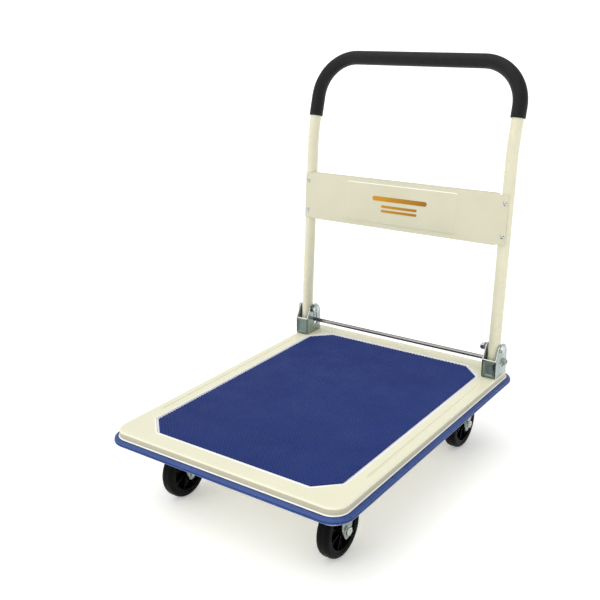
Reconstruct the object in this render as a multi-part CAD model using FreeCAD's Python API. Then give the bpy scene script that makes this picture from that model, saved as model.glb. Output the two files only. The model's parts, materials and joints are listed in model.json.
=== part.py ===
"""Folding platform cart, in millimetres.

+X points to the right, +Y to the rear, where the handle stands, and +Z up. The cart stands on z = 0 with the
centre of its box over the origin. Each separate piece is written to parts/NODE.step. Everything is modelled
about the centre of the platform and moved back by platform_y when it is saved.
"""
import FreeCAD, Part
import math
import os

V = FreeCAD.Vector
X_AXIS = V(1, 0, 0)
Y_AXIS = V(0, 1, 0)
Z_AXIS = V(0, 0, 1)

# Platform
platform_width = 475.0      # over the bumper
platform_length = 654.0     # over the bumper
platform_corner = 37.0      # corner radius of the bumper, seen from above
deck_over_wheels = 54.0     # from the wheels' tops to the deck's top face
pan_sheet = 1.5
pan_edge_radius = 3.2
skirt_depth = 24.0
corner_skirt_extra = 4.5    # the drawn corners hang a little lower than the sides
bumper_reach = 9.8          # how far the bumper stands out from the skirt
bumper_top = 13.5           # below the deck's top face
bumper_height = 9.6
bumper_rounding = 4.4

# Mat and the recess it lies in
mat_side_border = 48.6      # from the bumper's side to the mat
mat_front_border = 48.6
mat_rear_border = 53.0
mat_chamfer = 35.2
mat_thickness = 2.4
recess_depth = 1.6
recess_margin = 3.6
tray_margin = 0.8           # the pressed tray is this much wider than the recess's rim

# Stiffening grooves pressed into the deck's border
groove_width = 3.0
groove_depth = 0.7
groove_inset = 26.2         # from the bumper's side
side_groove_trim = 122.0    # from the bumper's end to a side groove's end
rear_groove_insets = (20.0, 44.0)
rear_groove_trim = 62.0

# Channels and rails welded under the deck
channel_width = 74.0
channel_height = 21.0
channel_sheet = 2.0
channel_wall_gap = 1.7      # from the rear channel's flange to the inside of the skirt
channel_end_gap = 32.5      # from the bumper's side to a channel's end
rail_width = 34.0
rail_height = 14.0
rail_x = 86.0

# Handle
pivot_inset = 62.4          # from the bumper's rear to the pivot axis
pivot_height = 55.0         # above the deck
handle_inset = 24.5         # from the bumper's side to a leg's axis
tube_od = 22.6
tube_wall = 1.4
stub_length = 25.4          # of tube below the pivot
lean_deg = 3.7              # the upright handle leans back
bend_deg = 11.4             # further bend of its upper part
bend_height = 375.5         # from the pivot to the bend, along the leg
bend_radius = 320.0
upper_length = 155.4        # from the bend to the top bar, along the leg
top_corner_radius = 79.0
grip_wall = 2.3
grip_end_left = 35.6        # from the bend to the grip's end, along the leg
grip_end_right = 55.8
plug_length = 14.0
plug_wall = 2.0

# Panel across the handle
panel_sheet = 1.2
panel_bottom = 200.0        # from the pivot, along the leg
panel_height = 96.6
panel_overhang = 6.2        # past the leg's axis
panel_flange = 9.0
panel_corner = 2.5
tab_step = 1.8
tab_gap = 1.0               # from the leg to the step between tab and flange
tab_step_r = 0.8
field_width = 242.0
field_height = 77.0
field_raise = 1.0
field_corner = 7.0
field_slope = 1.5
panel_screw_r = 2.4
panel_screw_head_r = 4.3
panel_screw_head = 2.3
panel_screw_length = 12.0
screw_cross = (2.4, 0.5, 0.9)   # half length, half width and depth of a screw's cross recess
panel_screw_inset = 17.6    # from the panel's lower and upper edges
mark_bars = ((118.0, 9.0, 11.0), (78.0, 5.0, -4.0), (78.0, 5.0, -13.0))
mark_thickness = 0.25

# Hinge brackets
bracket_sheet = 2.3
bracket_gap = 0.5           # each side of the tube
bracket_front = 21.1        # from the pivot to the front web
bracket_back = 29.4         # from the pivot to the back edge
bracket_top = 64.0
web_height = 36.0
web_lip_r = 1.7
web_relief = 2.4
web_dish_depth = 2.2
bracket_slope_run = 14.1
bracket_radii = (0.5, 3.0, 13.0, 23.0, 2.0)     # of an ear's corners, from its foot at the front
bracket_foot_gaps = (5.0, 3.0)                  # from the foot to the front web and to the back edge
web_dish_inset = 4.0                            # from the web's edges to the dish
web_dish_lift = 2.0                             # the dish's lower edge lies this much higher
web_dish_slope = 3.5
web_dish_corner = 1.5
web_dish_wall = 0.8                             # share of the sheet left behind the dish
bracket_bolt_r = 3.0
bracket_bolt_ys = (-8.0, 16.0)
pivot_bolt_r = 4.0
bush_r = 6.0
running_clearance = 0.06
bolt_hole_clearance = 0.1

# Lock rod and its springs
rod_r = 4.0
rod_back = 14.4             # from the pivot
rod_drop = 29.5
rod_travel = 10.0
rod_slot_angle = 51.7       # below the horizontal, running forward and down
rod_slot_clearance = 0.35
rod_nut_gap = 0.3            # from a bracket to the rod's nut
rod_end = 1.2                # of the rod, outside its nut
rod_end_chamfer = 0.6
spring_gap = 0.3             # from the spring to the bracket
spring_rod_gap = 0.4         # from the spring's hook to the rod
spring_hook_share = 2.2      # the hook's length over the rod's radius
spring_wire_r = 0.9
spring_mean_r = 7.4
spring_pitch = 2.1
spring_turns = 1.25

# Casters and wheels
wheel_r = 50.0
tyre_half = 12.0
tyre_edge = 5.5
tyre_depth = 11.0
rim_depth = 4.0
rim_half = 11.0
core_web_half = 2.0
core_hub_r = 11.0
core_hub_half = 13.2
core_ribs = 8
core_rib_half = 1.3
core_rib_inset = 2.5
axle_r = 4.0
wheel_bush_r = 6.2
wheel_bush_half = 13.8
fork_gap = 14.4             # from the wheel's middle to a leg's inner face
fork_sheet = 2.5
# Points of a leg's lower end about the axle: (y, z, corner radius)
fork_tip = ((-13.0, 4.0, 6.0), (-4.0, -15.5, 4.5), (6.0, -15.5, 4.5), (15.0, 2.0, 10.0))
fork_back_drop = 18.0        # straight edge below the crown, behind and in front
fork_back_r = 6.0
fork_front_drop = 8.0
fork_front_r = 4.0
caster_x = 161.8
front_axle_inset = 115.0    # from the bumper's front to the axle
front_offset = 8.0          # the plate's centre lies behind the axle
kingpin_inset = 59.0        # from the bumper's rear to the kingpin
trail = 28.0
plate_size = (84.0, 66.0)
plate_holes = (66.0, 48.0)
plate_sheet = 2.5
plate_corner = 6.0
race_r = 24.0
race_depth = 3.0
race_rounding = 1.2
ball_r = 2.5
ball_ring_r = 18.0
ball_count = 20
crown_r = 22.0
crown_gap = 0.3
kingpin_r = 5.0
kingpin_head_r = 9.0
kingpin_head = 4.0
kingpin_rivet = 3.0          # height of its riveted end above the plate
kingpin_rounding = 1.5
caster_bolt_r = 4.0

# Hexagon heads and nuts: across flats and thickness by thread radius
hex_sizes = {3.0: (10.0, 4.2), 4.0: (13.0, 6.0), 5.0: (16.0, 7.0)}
hex_flat_share = 0.96       # of the width across flats, left flat on a chamfered head
hex_chamfer_share = 0.85    # of the height, over which a head's corners are chamfered
hex_chamfer_flare = 2.4
thread_end = 2.0            # of a bolt's thread, left standing out of its nut

# Worked-out places, about the platform's centre
half_width = platform_width / 2
channel_flange = kingpin_inset - bumper_reach - pan_sheet - channel_wall_gap - channel_width / 2
half_length = platform_length / 2
pan_half_x = half_width - bumper_reach
pan_half_y = half_length - bumper_reach
pan_corner = platform_corner - bumper_reach
leg_x = half_width - handle_inset
tube_r = tube_od / 2
grip_r = tube_r + grip_wall
pivot_y = half_length - pivot_inset
deck_height = 2 * wheel_r + deck_over_wheels
pivot_z = deck_height + pivot_height
lean = math.radians(lean_deg)
bend = math.radians(bend_deg)
bracket_half = tube_r + bracket_gap + bracket_sheet
rod_y = pivot_y + rod_back
rod_z = pivot_z - rod_drop
slot_angle = math.radians(rod_slot_angle)
rod_direction = V(0, -math.cos(slot_angle), -math.sin(slot_angle))
recess_floor = deck_height - recess_depth
channel_top = recess_floor - pan_sheet
plate_top = channel_top - channel_height
plate_bottom = plate_top - plate_sheet
front_axle_y = -half_length + front_axle_inset
front_plate_y = front_axle_y + front_offset
kingpin_y = half_length - kingpin_inset
rear_axle_y = kingpin_y - trail
race_bottom = plate_bottom - race_depth
crown_top = race_bottom - 2 * ball_r - crown_gap
rim_r = wheel_r - tyre_depth
handle_back = (pivot_y + bend_height * math.sin(lean) + upper_length * math.sin(lean + bend) + grip_r)
platform_y = -(max(handle_back, half_length) - half_length) / 2

SIDES = {"l": -1, "r": 1}


# ---------------------------------------------------------------- helpers
def save(name, shape):
    """Write one piece, placed with the box's centre over the origin."""
    placed = shape.copy()
    placed.translate(V(0, platform_y, 0))
    if not placed.isValid():
        print("not valid:", name)
    placed.exportStep("parts/" + name + ".step")
    print(f"{name:20s} solids {len(placed.Solids)} volume {placed.Volume:10.0f}")


def box(x0, x1, y0, y1, z0, z1):
    """Block between two corners."""
    return Part.makeBox(x1 - x0, y1 - y0, z1 - z0, V(x0, y0, z0))


def rod_between(start, end, radius):
    """Round bar from one point to another."""
    return Part.makeCylinder(radius, (end - start).Length, start, end - start)


def rounded_wire(points, radii):
    """Closed flat wire through points, each corner rounded to its radius."""
    count = len(points)
    spans = []
    for i in range(count):
        corner = points[i]
        back = (points[i - 1] - corner).normalize()
        ahead = (points[(i + 1) % count] - corner).normalize()
        half_turn = back.getAngle(ahead) / 2
        if radii[i] <= 0:
            spans.append((corner, None, corner))
            continue
        reach = radii[i] / math.tan(half_turn)
        middle = (back + ahead).normalize() * (radii[i] / math.sin(half_turn) - radii[i])
        spans.append((corner + back * reach, corner + middle, corner + ahead * reach))
    edges = []
    for i in range(count):
        start, middle, end = spans[i]
        if middle is not None:
            edges.append(Part.Arc(start, middle, end).toShape())
        following = spans[(i + 1) % count][0]
        if (following - end).Length > 1e-6:
            edges.append(Part.LineSegment(end, following).toShape())
    return Part.Wire(Part.__sortEdges__(edges))


def plate(points, radii, direction):
    """Flat plate: a rounded outline pushed along a direction."""
    return Part.Face(rounded_wire(points, radii)).extrude(direction)


def rounded_slab(half_x, half_y, corner, z0, z1, centre=(0.0, 0.0)):
    """Slab with four rounded corners, seen from above."""
    cx, cy = centre
    corners = [V(cx + sx * half_x, cy + sy * half_y, z0) for sx, sy in ((-1, -1), (1, -1), (1, 1), (-1, 1))]
    return plate(corners, [corner] * 4, V(0, 0, z1 - z0))


def octagon_slab(half_x, y0, y1, chamfer, z0, z1):
    """Slab with four chamfered corners."""
    points = [V(-half_x, y0 + chamfer, z0), V(-half_x + chamfer, y0, z0), V(half_x - chamfer, y0, z0),
              V(half_x, y0 + chamfer, z0), V(half_x, y1 - chamfer, z0), V(half_x - chamfer, y1, z0),
              V(-half_x + chamfer, y1, z0), V(-half_x, y1 - chamfer, z0)]
    return plate(points, [0] * 8, V(0, 0, z1 - z0))


def flat_edges(shape, z):
    """Edges that lie wholly at one height."""
    return [e for e in shape.Edges if abs(e.BoundBox.ZMin - z) < 1e-4 and abs(e.BoundBox.ZMax - z) < 1e-4]


def prism_hex(across, height, base, direction):
    """Hexagon prism on an axis, with its corners chamfered by a cone at the far end."""
    radius = across / math.sqrt(3)
    axis = direction.normalize()
    side = axis.cross(V(0.3, 0.5, 0.9)).normalize()
    up = axis.cross(side)
    points = []
    for i in range(6):
        turn = math.radians(60 * i)
        points.append(base + side * (radius * math.cos(turn)) + up * (radius * math.sin(turn)))
    prism = plate(points, [0] * 6, axis * height)
    flat = across / 2 * hex_flat_share
    slope = height * hex_chamfer_share
    cone = Part.makeCone(flat + slope * hex_chamfer_flare, flat, slope, base + axis * (height - slope), axis)
    return prism.common(cone.fuse(Part.makeCylinder(radius + 1, height - slope + 0.01, base, axis)))


def bolt(thread_r, length, seat, direction):
    """Hexagon bolt whose head rests at seat and whose shank runs along direction."""
    across, thickness = hex_sizes[thread_r]
    axis = V(direction).normalize()
    shank = Part.makeCylinder(thread_r, length, seat, axis)
    return prism_hex(across, thickness, seat, axis * -1).fuse(shank).removeSplitter()


def nut(thread_r, seat, direction):
    """Hexagon nut resting at seat and standing along direction."""
    across, thickness = hex_sizes[thread_r]
    axis = V(direction).normalize()
    thread = Part.makeCylinder(thread_r, 40, seat - axis * 20, axis)
    return prism_hex(across, thickness, seat, axis).cut(thread)


def revolve_about_x(points, centre):
    """Ring made by turning an (x, radius) outline about a line along X."""
    outline = [V(centre.x + x, centre.y, centre.z + r) for x, r in points]
    wire = Part.makePolygon(outline + [outline[0]])
    return Part.Face(wire).revolve(centre, X_AXIS, 360)


def compound(shapes):
    """Group of separate solids that share one node."""
    return Part.makeCompound(shapes)


# ---------------------------------------------------------------- deck
def mat_outline():
    """Half width, front and rear of the mat."""
    return half_width - mat_side_border, -half_length + mat_front_border, half_length - mat_rear_border


def groove(start, end):
    """Round-ended cutter for a straight pressed groove."""
    run = end - start
    across = run.cross(Z_AXIS).normalize() * (groove_width / 2)
    bottom = V(0, 0, deck_height - groove_depth)
    points = [start + across + bottom, end + across + bottom, end - across + bottom, start - across + bottom]
    return plate(points, [groove_width / 2 - 0.01] * 4, V(0, 0, groove_depth * 2))


def deck_grooves():
    """Cutters for the grooves along both sides and across the rear."""
    groove_x = half_width - groove_inset
    reach = half_length - side_groove_trim
    cutters = [groove(V(side * groove_x, -reach, 0), V(side * groove_x, reach, 0))
               for side in SIDES.values()]
    rear_reach = half_width - rear_groove_trim
    for inset in rear_groove_insets:
        y = half_length - inset
        cutters.append(groove(V(-rear_reach, y, 0), V(rear_reach, y, 0)))
    return cutters


def deck_bolt_holes():
    """Cutters for the bracket bolts."""
    holes = []
    for side in SIDES.values():
        for dy in bracket_bolt_ys:
            start = V(side * leg_x, pivot_y + dy, deck_height - 10)
            holes.append(Part.makeCylinder(bracket_bolt_r + bolt_hole_clearance, 20, start))
    return holes


def make_deck_pan():
    """Pressed pan: skirt all round, mat recess, grooves and deeper corners."""
    low = deck_height - skirt_depth - corner_skirt_extra
    outer = rounded_slab(pan_half_x, pan_half_y, pan_corner, low, deck_height)
    outer = outer.makeFillet(pan_edge_radius, flat_edges(outer, deck_height))
    inner = rounded_slab(pan_half_x - pan_sheet, pan_half_y - pan_sheet, pan_corner - pan_sheet, low - 1,
                         deck_height - pan_sheet)
    inner = inner.makeFillet(pan_edge_radius - pan_sheet, flat_edges(inner, deck_height - pan_sheet))
    pan = outer.cut(inner)
    side_low = deck_height - skirt_depth
    straight_x = pan_half_x - pan_corner
    straight_y = pan_half_y - pan_corner
    pan = pan.cut(box(-straight_x, straight_x, -half_length, half_length, low - 1, side_low))
    pan = pan.cut(box(-half_width, half_width, -straight_y, straight_y, low - 1, side_low))
    mat_x, mat_y0, mat_y1 = mat_outline()
    grow = recess_margin + tray_margin + pan_sheet
    tray = octagon_slab(mat_x + grow, mat_y0 - grow, mat_y1 + grow, mat_chamfer + grow * (2 - math.sqrt(2)),
                        channel_top, deck_height - pan_sheet)
    hollow = octagon_slab(mat_x + recess_margin, mat_y0 - recess_margin, mat_y1 + recess_margin,
                          mat_chamfer + recess_margin * (2 - math.sqrt(2)), recess_floor, deck_height + 1)
    pan = pan.fuse(tray).cut(hollow)
    for cutter in deck_grooves() + deck_bolt_holes():
        pan = pan.cut(cutter)
    return pan.removeSplitter()


def make_deck_bumper():
    """Rounded strip pushed onto the skirt."""
    top = deck_height - bumper_top
    outer = rounded_slab(half_width, half_length, platform_corner, top - bumper_height, top)
    rims = flat_edges(outer, top) + flat_edges(outer, top - bumper_height)
    outer = outer.makeFillet(bumper_rounding, rims)
    inner = rounded_slab(pan_half_x, pan_half_y, pan_corner, top - bumper_height - 1, top + 1)
    return outer.cut(inner)


def make_deck_mat():
    """Flat mat that lies in the recess."""
    mat_x, mat_y0, mat_y1 = mat_outline()
    return octagon_slab(mat_x, mat_y0, mat_y1, mat_chamfer, recess_floor, recess_floor + mat_thickness)


def hat_section(half_run, width, height, centre, along_y):
    """Hat-shaped channel hung under the deck, running along X or Y."""
    half = width / 2
    top = channel_top
    sheet = channel_sheet
    outline = [(-half - channel_flange, 0), (-half - channel_flange, -sheet), (-half, -sheet),
               (-half, -height), (half, -height), (half, -sheet),
               (half + channel_flange, -sheet), (half + channel_flange, 0),
               (half - sheet, 0), (half - sheet, -height + sheet), (-half + sheet, -height + sheet),
               (-half + sheet, 0)]
    if along_y:
        points = [V(centre.x + a, centre.y - half_run, top + b) for a, b in outline]
        run = V(0, 2 * half_run, 0)
    else:
        points = [V(centre.x - half_run, centre.y + a, top + b) for a, b in outline]
        run = V(2 * half_run, 0, 0)
    return plate(points, [0] * len(points), run)


def caster_plate_holes(centre_y):
    """Places of the four mounting bolts of each of a pair of caster plates."""
    places = []
    for side in SIDES.values():
        for sx in (-1, 1):
            for sy in (-1, 1):
                places.append(V(side * caster_x + sx * plate_holes[0] / 2,
                                centre_y + sy * plate_holes[1] / 2, 0))
    return places


def make_channel(centre_y, kingpin_holes):
    """Cross channel that carries two casters."""
    reach = half_width - channel_end_gap
    channel = hat_section(reach, channel_width, channel_height, V(0, centre_y, 0), False)
    for place in caster_plate_holes(centre_y):
        drill = Part.makeCylinder(caster_bolt_r + bolt_hole_clearance, 10, place + V(0, 0, plate_top - 5))
        channel = channel.cut(drill)
    if kingpin_holes:
        for side in SIDES.values():
            place = V(side * caster_x, centre_y, plate_top - 5)
            channel = channel.cut(Part.makeCylinder(kingpin_head_r + 2, 10, place))
    return channel


def make_side_rail(side):
    """Long stiffener between the two cross channels."""
    reach = channel_width / 2 + channel_flange + 1
    front = front_plate_y + reach
    rear = kingpin_y - reach
    centre = V(side * rail_x, (front + rear) / 2, 0)
    return hat_section((rear - front) / 2, rail_width, rail_height, centre, True)


# ---------------------------------------------------------------- hinge brackets and lock
def slot_cutter(x0, x1):
    """Slanted slot for the rod, cut through from x0 to x1."""
    radius = rod_r + rod_slot_clearance
    start = V(x0, rod_y, rod_z)
    end = start + rod_direction * rod_travel
    run = V(x1 - x0, 0, 0)
    across = rod_direction.cross(X_AXIS).normalize() * radius
    middle = plate([start + across, end + across, end - across, start - across], [0] * 4, run)
    return middle.fuse(Part.makeCylinder(radius, x1 - x0, start, X_AXIS)).fuse(
        Part.makeCylinder(radius, x1 - x0, end, X_AXIS))


def make_bracket(side):
    """U-shaped bracket: two ears, a dished front web with a curled lip, and a foot."""
    y0 = pivot_y - bracket_front
    y1 = pivot_y + bracket_back
    z0 = deck_height
    outline = [(y0, 0), (y0, web_height), (y0 + bracket_slope_run, bracket_top), (y1, bracket_top), (y1, 0)]
    centre = side * leg_x
    shape = None
    for ear_x in (centre - bracket_half, centre + bracket_half - bracket_sheet):
        points = [V(ear_x, y, z0 + z) for y, z in outline]
        ear = plate(points, bracket_radii, V(bracket_sheet, 0, 0))
        shape = ear if shape is None else shape.fuse(ear)
    x0 = centre - bracket_half
    x1 = centre + bracket_half
    web = box(x0, x1, y0, y0 + bracket_sheet, z0 + web_relief, z0 + web_height)
    lip_start = V(x0, y0 + bracket_sheet / 2, z0 + web_height)
    lip = Part.makeCylinder(web_lip_r, 2 * bracket_half, lip_start, X_AXIS)
    foot = box(x0, x1, y0 + bracket_foot_gaps[0], y1 - bracket_foot_gaps[1], z0, z0 + bracket_sheet)
    shape = shape.fuse([web, lip, foot])
    dish = []
    for depth, trim in ((0.0, web_dish_inset), (web_dish_depth, web_dish_inset + web_dish_slope)):
        dish_low = z0 + trim + web_dish_lift
        dish_high = z0 + web_height - trim
        corners = [V(x0 + trim, y0 + depth, dish_low), V(x1 - trim, y0 + depth, dish_low),
                   V(x1 - trim, y0 + depth, dish_high), V(x0 + trim, y0 + depth, dish_high)]
        dish.append(rounded_wire(corners, [web_dish_corner] * 4))
    hollow = Part.makeLoft(dish, True)
    back = hollow.copy()
    back.translate(V(0, bracket_sheet * web_dish_wall, 0))
    shape = shape.fuse(back).cut(hollow)
    shape = shape.cut(slot_cutter(x0 - 1, x1 + 1))
    bore = Part.makeCylinder(pivot_bolt_r + bolt_hole_clearance / 2, 2 * bracket_half + 2,
                             V(x0 - 1, pivot_y, pivot_z), X_AXIS)
    shape = shape.cut(bore)
    for dy in bracket_bolt_ys:
        shape = shape.cut(Part.makeCylinder(bracket_bolt_r + bolt_hole_clearance, 10,
                                            V(centre, pivot_y + dy, z0 - 3)))
    return shape.removeSplitter()


def make_bracket_bolts():
    """Bolts that hold the brackets' feet down."""
    seat_z = deck_height + bracket_sheet
    return compound([bolt(bracket_bolt_r, 16, V(side * leg_x, pivot_y + dy, seat_z), V(0, 0, -1))
                     for side in SIDES.values() for dy in bracket_bolt_ys])


def make_bracket_nuts():
    """Nuts under the deck for the bracket bolts."""
    seat_z = deck_height - pan_sheet
    return compound([nut(bracket_bolt_r, V(side * leg_x, pivot_y + dy, seat_z), V(0, 0, -1))
                     for side in SIDES.values() for dy in bracket_bolt_ys])


def spring_space():
    """Length of bolt that a spring's coil takes up."""
    return spring_pitch * spring_turns + 2 * spring_wire_r + 2 * spring_gap


def make_pivot_bolts():
    """Bolts through the brackets and the tube's bushes, heads outside."""
    length = 2 * bracket_half + spring_space() + hex_sizes[pivot_bolt_r][1] + thread_end
    return compound([bolt(pivot_bolt_r, length, V(side * (leg_x + bracket_half), pivot_y, pivot_z),
                          V(-side, 0, 0)) for side in SIDES.values()])


def make_pivot_nuts():
    """Lock nuts at the inner ends of the pivot bolts."""
    seat = leg_x - bracket_half - spring_space()
    return compound([nut(pivot_bolt_r, V(side * seat, pivot_y, pivot_z), V(-side, 0, 0))
                     for side in SIDES.values()])


def rod_half_length():
    """Half the rod's length, past its end nuts."""
    return leg_x + bracket_half + rod_nut_gap + hex_sizes[rod_r][1] + rod_end


def make_lock_rod():
    """Cross rod that runs through the slots of both brackets."""
    half = rod_half_length()
    rod = Part.makeCylinder(rod_r, 2 * half, V(-half, rod_y, rod_z), X_AXIS)
    return rod.makeChamfer(rod_end_chamfer, [e for e in rod.Edges if e.BoundBox.XLength < 1e-6])


def make_rod_nuts():
    """Nuts on the rod's ends, outside the brackets."""
    seat = leg_x + bracket_half + rod_nut_gap
    return compound([nut(rod_r, V(side * seat, rod_y, rod_z), V(side, 0, 0)) for side in SIDES.values()])


def make_rod_spring(side):
    """Torsion spring round a pivot bolt: one leg hooks the bracket, the other hooks under the rod."""
    wire = spring_wire_r
    coil_x = leg_x - bracket_half - wire - spring_gap
    height = spring_pitch * spring_turns
    helix = Part.makeHelix(spring_pitch, height, spring_mean_r)
    # The helix climbs along -X from the bracket's inner face and ends pointing down behind the bolt.
    helix.Placement = FreeCAD.Placement(V(coil_x, pivot_y, pivot_z),
                                        FreeCAD.Rotation(Z_AXIS, V(-1, 0, 0)))
    ends = [v.Point for v in helix.Vertexes]
    start = max(ends, key=lambda p: p.x)
    end = min(ends, key=lambda p: p.x)
    direction = helix.Edges[0].tangentAt(helix.Edges[0].FirstParameter)
    section = Part.Wire(Part.makeCircle(wire, start, direction))
    coil = Part.Wire(helix).makePipeShell([section], True, True)
    pieces = [coil]
    # Anchored leg: straight to the bracket's front edge, then across it.
    anchor_z = start.z
    edge_y = pivot_y - bracket_front + (anchor_z - deck_height - web_height) / (
        bracket_top - web_height) * bracket_slope_run - wire - spring_gap
    corner = V(start.x, edge_y, anchor_z)
    tip = V(start.x + bracket_sheet + wire + spring_gap, edge_y, anchor_z)
    pieces += [rod_between(start, corner, wire), Part.makeSphere(wire, corner),
               rod_between(corner, tip, wire), Part.makeSphere(wire, start)]
    # Working leg: down in front of the rod, then back under it.
    reach = rod_r + wire + spring_rod_gap
    knee = V(end.x, rod_y - reach, rod_z - reach)
    toe = knee + V(0, rod_r * spring_hook_share, 0)
    pieces += [rod_between(end, knee, wire), Part.makeSphere(wire, knee), rod_between(knee, toe, wire),
               Part.makeSphere(wire, end), Part.makeSphere(wire, toe)]
    spring = pieces[0].fuse(pieces[1:])
    if side < 0:
        spring = spring.mirror(V(0, 0, 0), X_AXIS)
    return spring


# ---------------------------------------------------------------- handle, built upright from the pivot
def stand_handle(shape):
    """Put a piece of the handle at the pivot and lean it back."""
    placed = shape.copy()
    placed.rotate(V(0, 0, 0), X_AXIS, -lean_deg)
    placed.translate(V(0, pivot_y, pivot_z))
    return placed


def upper_point(along, x):
    """Point of the bent upper part: distance along it from the bend."""
    return V(x, along * math.sin(bend), bend_height + along * math.cos(bend))


def leg_edges(side, start_along):
    """Path of one leg, from its foot or from a point of its upper part, up to the corner."""
    x = side * leg_x
    reach = bend_radius * math.tan(bend / 2)
    edges = []
    if start_along is None:
        foot = V(x, 0, -stub_length)
        below = V(x, 0, bend_height - reach)
        above = upper_point(reach, x)
        sag = bend_radius / math.cos(bend / 2) - bend_radius
        inward = V(0, math.cos(bend / 2), -math.sin(bend / 2))
        middle = V(x, 0, bend_height) + inward * sag
        edges.append(Part.LineSegment(foot, below).toShape())
        edges.append(Part.Arc(below, middle, above).toShape())
        start_along = reach
    corner = upper_point(upper_length - top_corner_radius, x)
    edges.append(Part.LineSegment(upper_point(start_along, x), corner).toShape())
    return edges


def corner_edge(side):
    """Quarter bend from a leg into the top bar."""
    x = side * leg_x
    radius = top_corner_radius
    start = upper_point(upper_length - radius, x)
    end = upper_point(upper_length, x - side * radius)
    share = radius * (1 - math.cos(math.radians(45)))
    middle = upper_point(upper_length - share, x - side * share)
    return Part.Arc(start, middle, end).toShape()


def handle_path(left_start, right_start):
    """Centreline of the handle from the left side to the right one."""
    bar = Part.LineSegment(upper_point(upper_length, -leg_x + top_corner_radius),
                           upper_point(upper_length, leg_x - top_corner_radius)).toShape()
    edges = leg_edges(-1, left_start) + [corner_edge(-1), bar, corner_edge(1)] + leg_edges(1, right_start)
    return Part.Wire(Part.__sortEdges__(edges))


def sweep_round(path, radius, start, direction):
    """Round bar swept along a path of tangent runs and arcs."""
    section = Part.Wire(Part.makeCircle(radius, start, direction))
    return path.makePipeShell([section], True, False)


def make_handle_tube():
    """Bent tube with holes for the bushes and the panel's screws."""
    path = handle_path(None, None)
    foot = V(-leg_x, 0, -stub_length)
    tube = sweep_round(path, tube_r, foot, Z_AXIS).cut(sweep_round(path, tube_r - tube_wall, foot, Z_AXIS))
    for side in SIDES.values():
        bore = Part.makeCylinder(bush_r, tube_od + 2, V(side * leg_x - tube_r - 1, 0, 0), X_AXIS)
        tube = tube.cut(bore)
        for s in panel_screw_heights():
            hole = Part.makeCylinder(panel_screw_r, tube_r + 2, V(side * leg_x, -tube_r - 2, s), Y_AXIS)
            tube = tube.cut(hole)
    return stand_handle(tube)


def make_handle_grip():
    """Foam sleeve over the top bar and both corners."""
    path = handle_path(grip_end_left, grip_end_right)
    start = upper_point(grip_end_left, -leg_x)
    direction = V(0, math.sin(bend), math.cos(bend))
    outer = sweep_round(path, grip_r, start, direction)
    return stand_handle(outer.cut(sweep_round(path, tube_r, start, direction)))


def make_pivot_bushes():
    """Steel sleeves welded across the tube's feet."""
    bushes = []
    for side in SIDES.values():
        start = V(side * leg_x - tube_r, 0, 0)
        sleeve = Part.makeCylinder(bush_r, tube_od, start, X_AXIS)
        bore = Part.makeCylinder(pivot_bolt_r + running_clearance, tube_od, start, X_AXIS)
        bushes.append(sleeve.cut(bore))
    return stand_handle(compound(bushes))


def make_tube_plugs():
    """Plastic plugs in the tube's feet, below the bushes."""
    plugs = []
    for side in SIDES.values():
        start = V(side * leg_x, 0, -stub_length)
        body = Part.makeCylinder(tube_r - tube_wall, plug_length, start)
        plugs.append(body.cut(Part.makeCylinder(tube_r - tube_wall - plug_wall, plug_length,
                                                start + V(0, 0, plug_wall))))
    return stand_handle(compound(plugs))


def panel_screw_heights():
    """Heights of the lower and upper pairs of panel screws."""
    return panel_bottom + panel_screw_inset, panel_bottom + panel_height - panel_screw_inset


def panel_front():
    """Distance from the legs' plane to the panel's front face."""
    return -tube_r - panel_sheet


def make_handle_panel():
    """Sheet panel: tabs over the legs, flanges between them, and a raised field."""
    front = panel_front()
    tab_x = leg_x + panel_overhang
    inner_x = leg_x - tube_r - tab_gap
    top = panel_bottom + panel_height
    low = panel_bottom
    outline = [V(-tab_x, front, low + tab_step), V(-inner_x, front, low + tab_step), V(-inner_x, front, low),
               V(inner_x, front, low), V(inner_x, front, low + tab_step), V(tab_x, front, low + tab_step),
               V(tab_x, front, top - tab_step), V(inner_x, front, top - tab_step), V(inner_x, front, top),
               V(-inner_x, front, top), V(-inner_x, front, top - tab_step), V(-tab_x, front, top - tab_step)]
    radii = ([panel_corner] + [tab_step_r] * 4 + [panel_corner]) * 2
    panel = plate(outline, radii, V(0, panel_sheet, 0))
    for z0 in (low, top - panel_sheet):
        panel = panel.fuse(box(-inner_x, inner_x, front, front + panel_flange, z0, z0 + panel_sheet))
    middle = (low + top) / 2
    fields = []
    for grow, face in ((0.0, front), (-field_slope, front - field_raise)):
        half_x = field_width / 2 + grow
        half_z = field_height / 2 + grow
        corners = [V(sx * half_x, face, middle + sz * half_z)
                   for sx, sz in ((-1, -1), (1, -1), (1, 1), (-1, 1))]
        fields.append(rounded_wire(corners, [field_corner + grow] * 4))
    raised = Part.makeLoft(fields, True)
    hollow = raised.copy()
    hollow.translate(V(0, panel_sheet, 0))
    panel = panel.fuse(raised).cut(hollow)
    for side in SIDES.values():
        for s in panel_screw_heights():
            panel = panel.cut(Part.makeCylinder(panel_screw_r, 10, V(side * leg_x, front - 5, s), Y_AXIS))
    return stand_handle(panel.removeSplitter())


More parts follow.
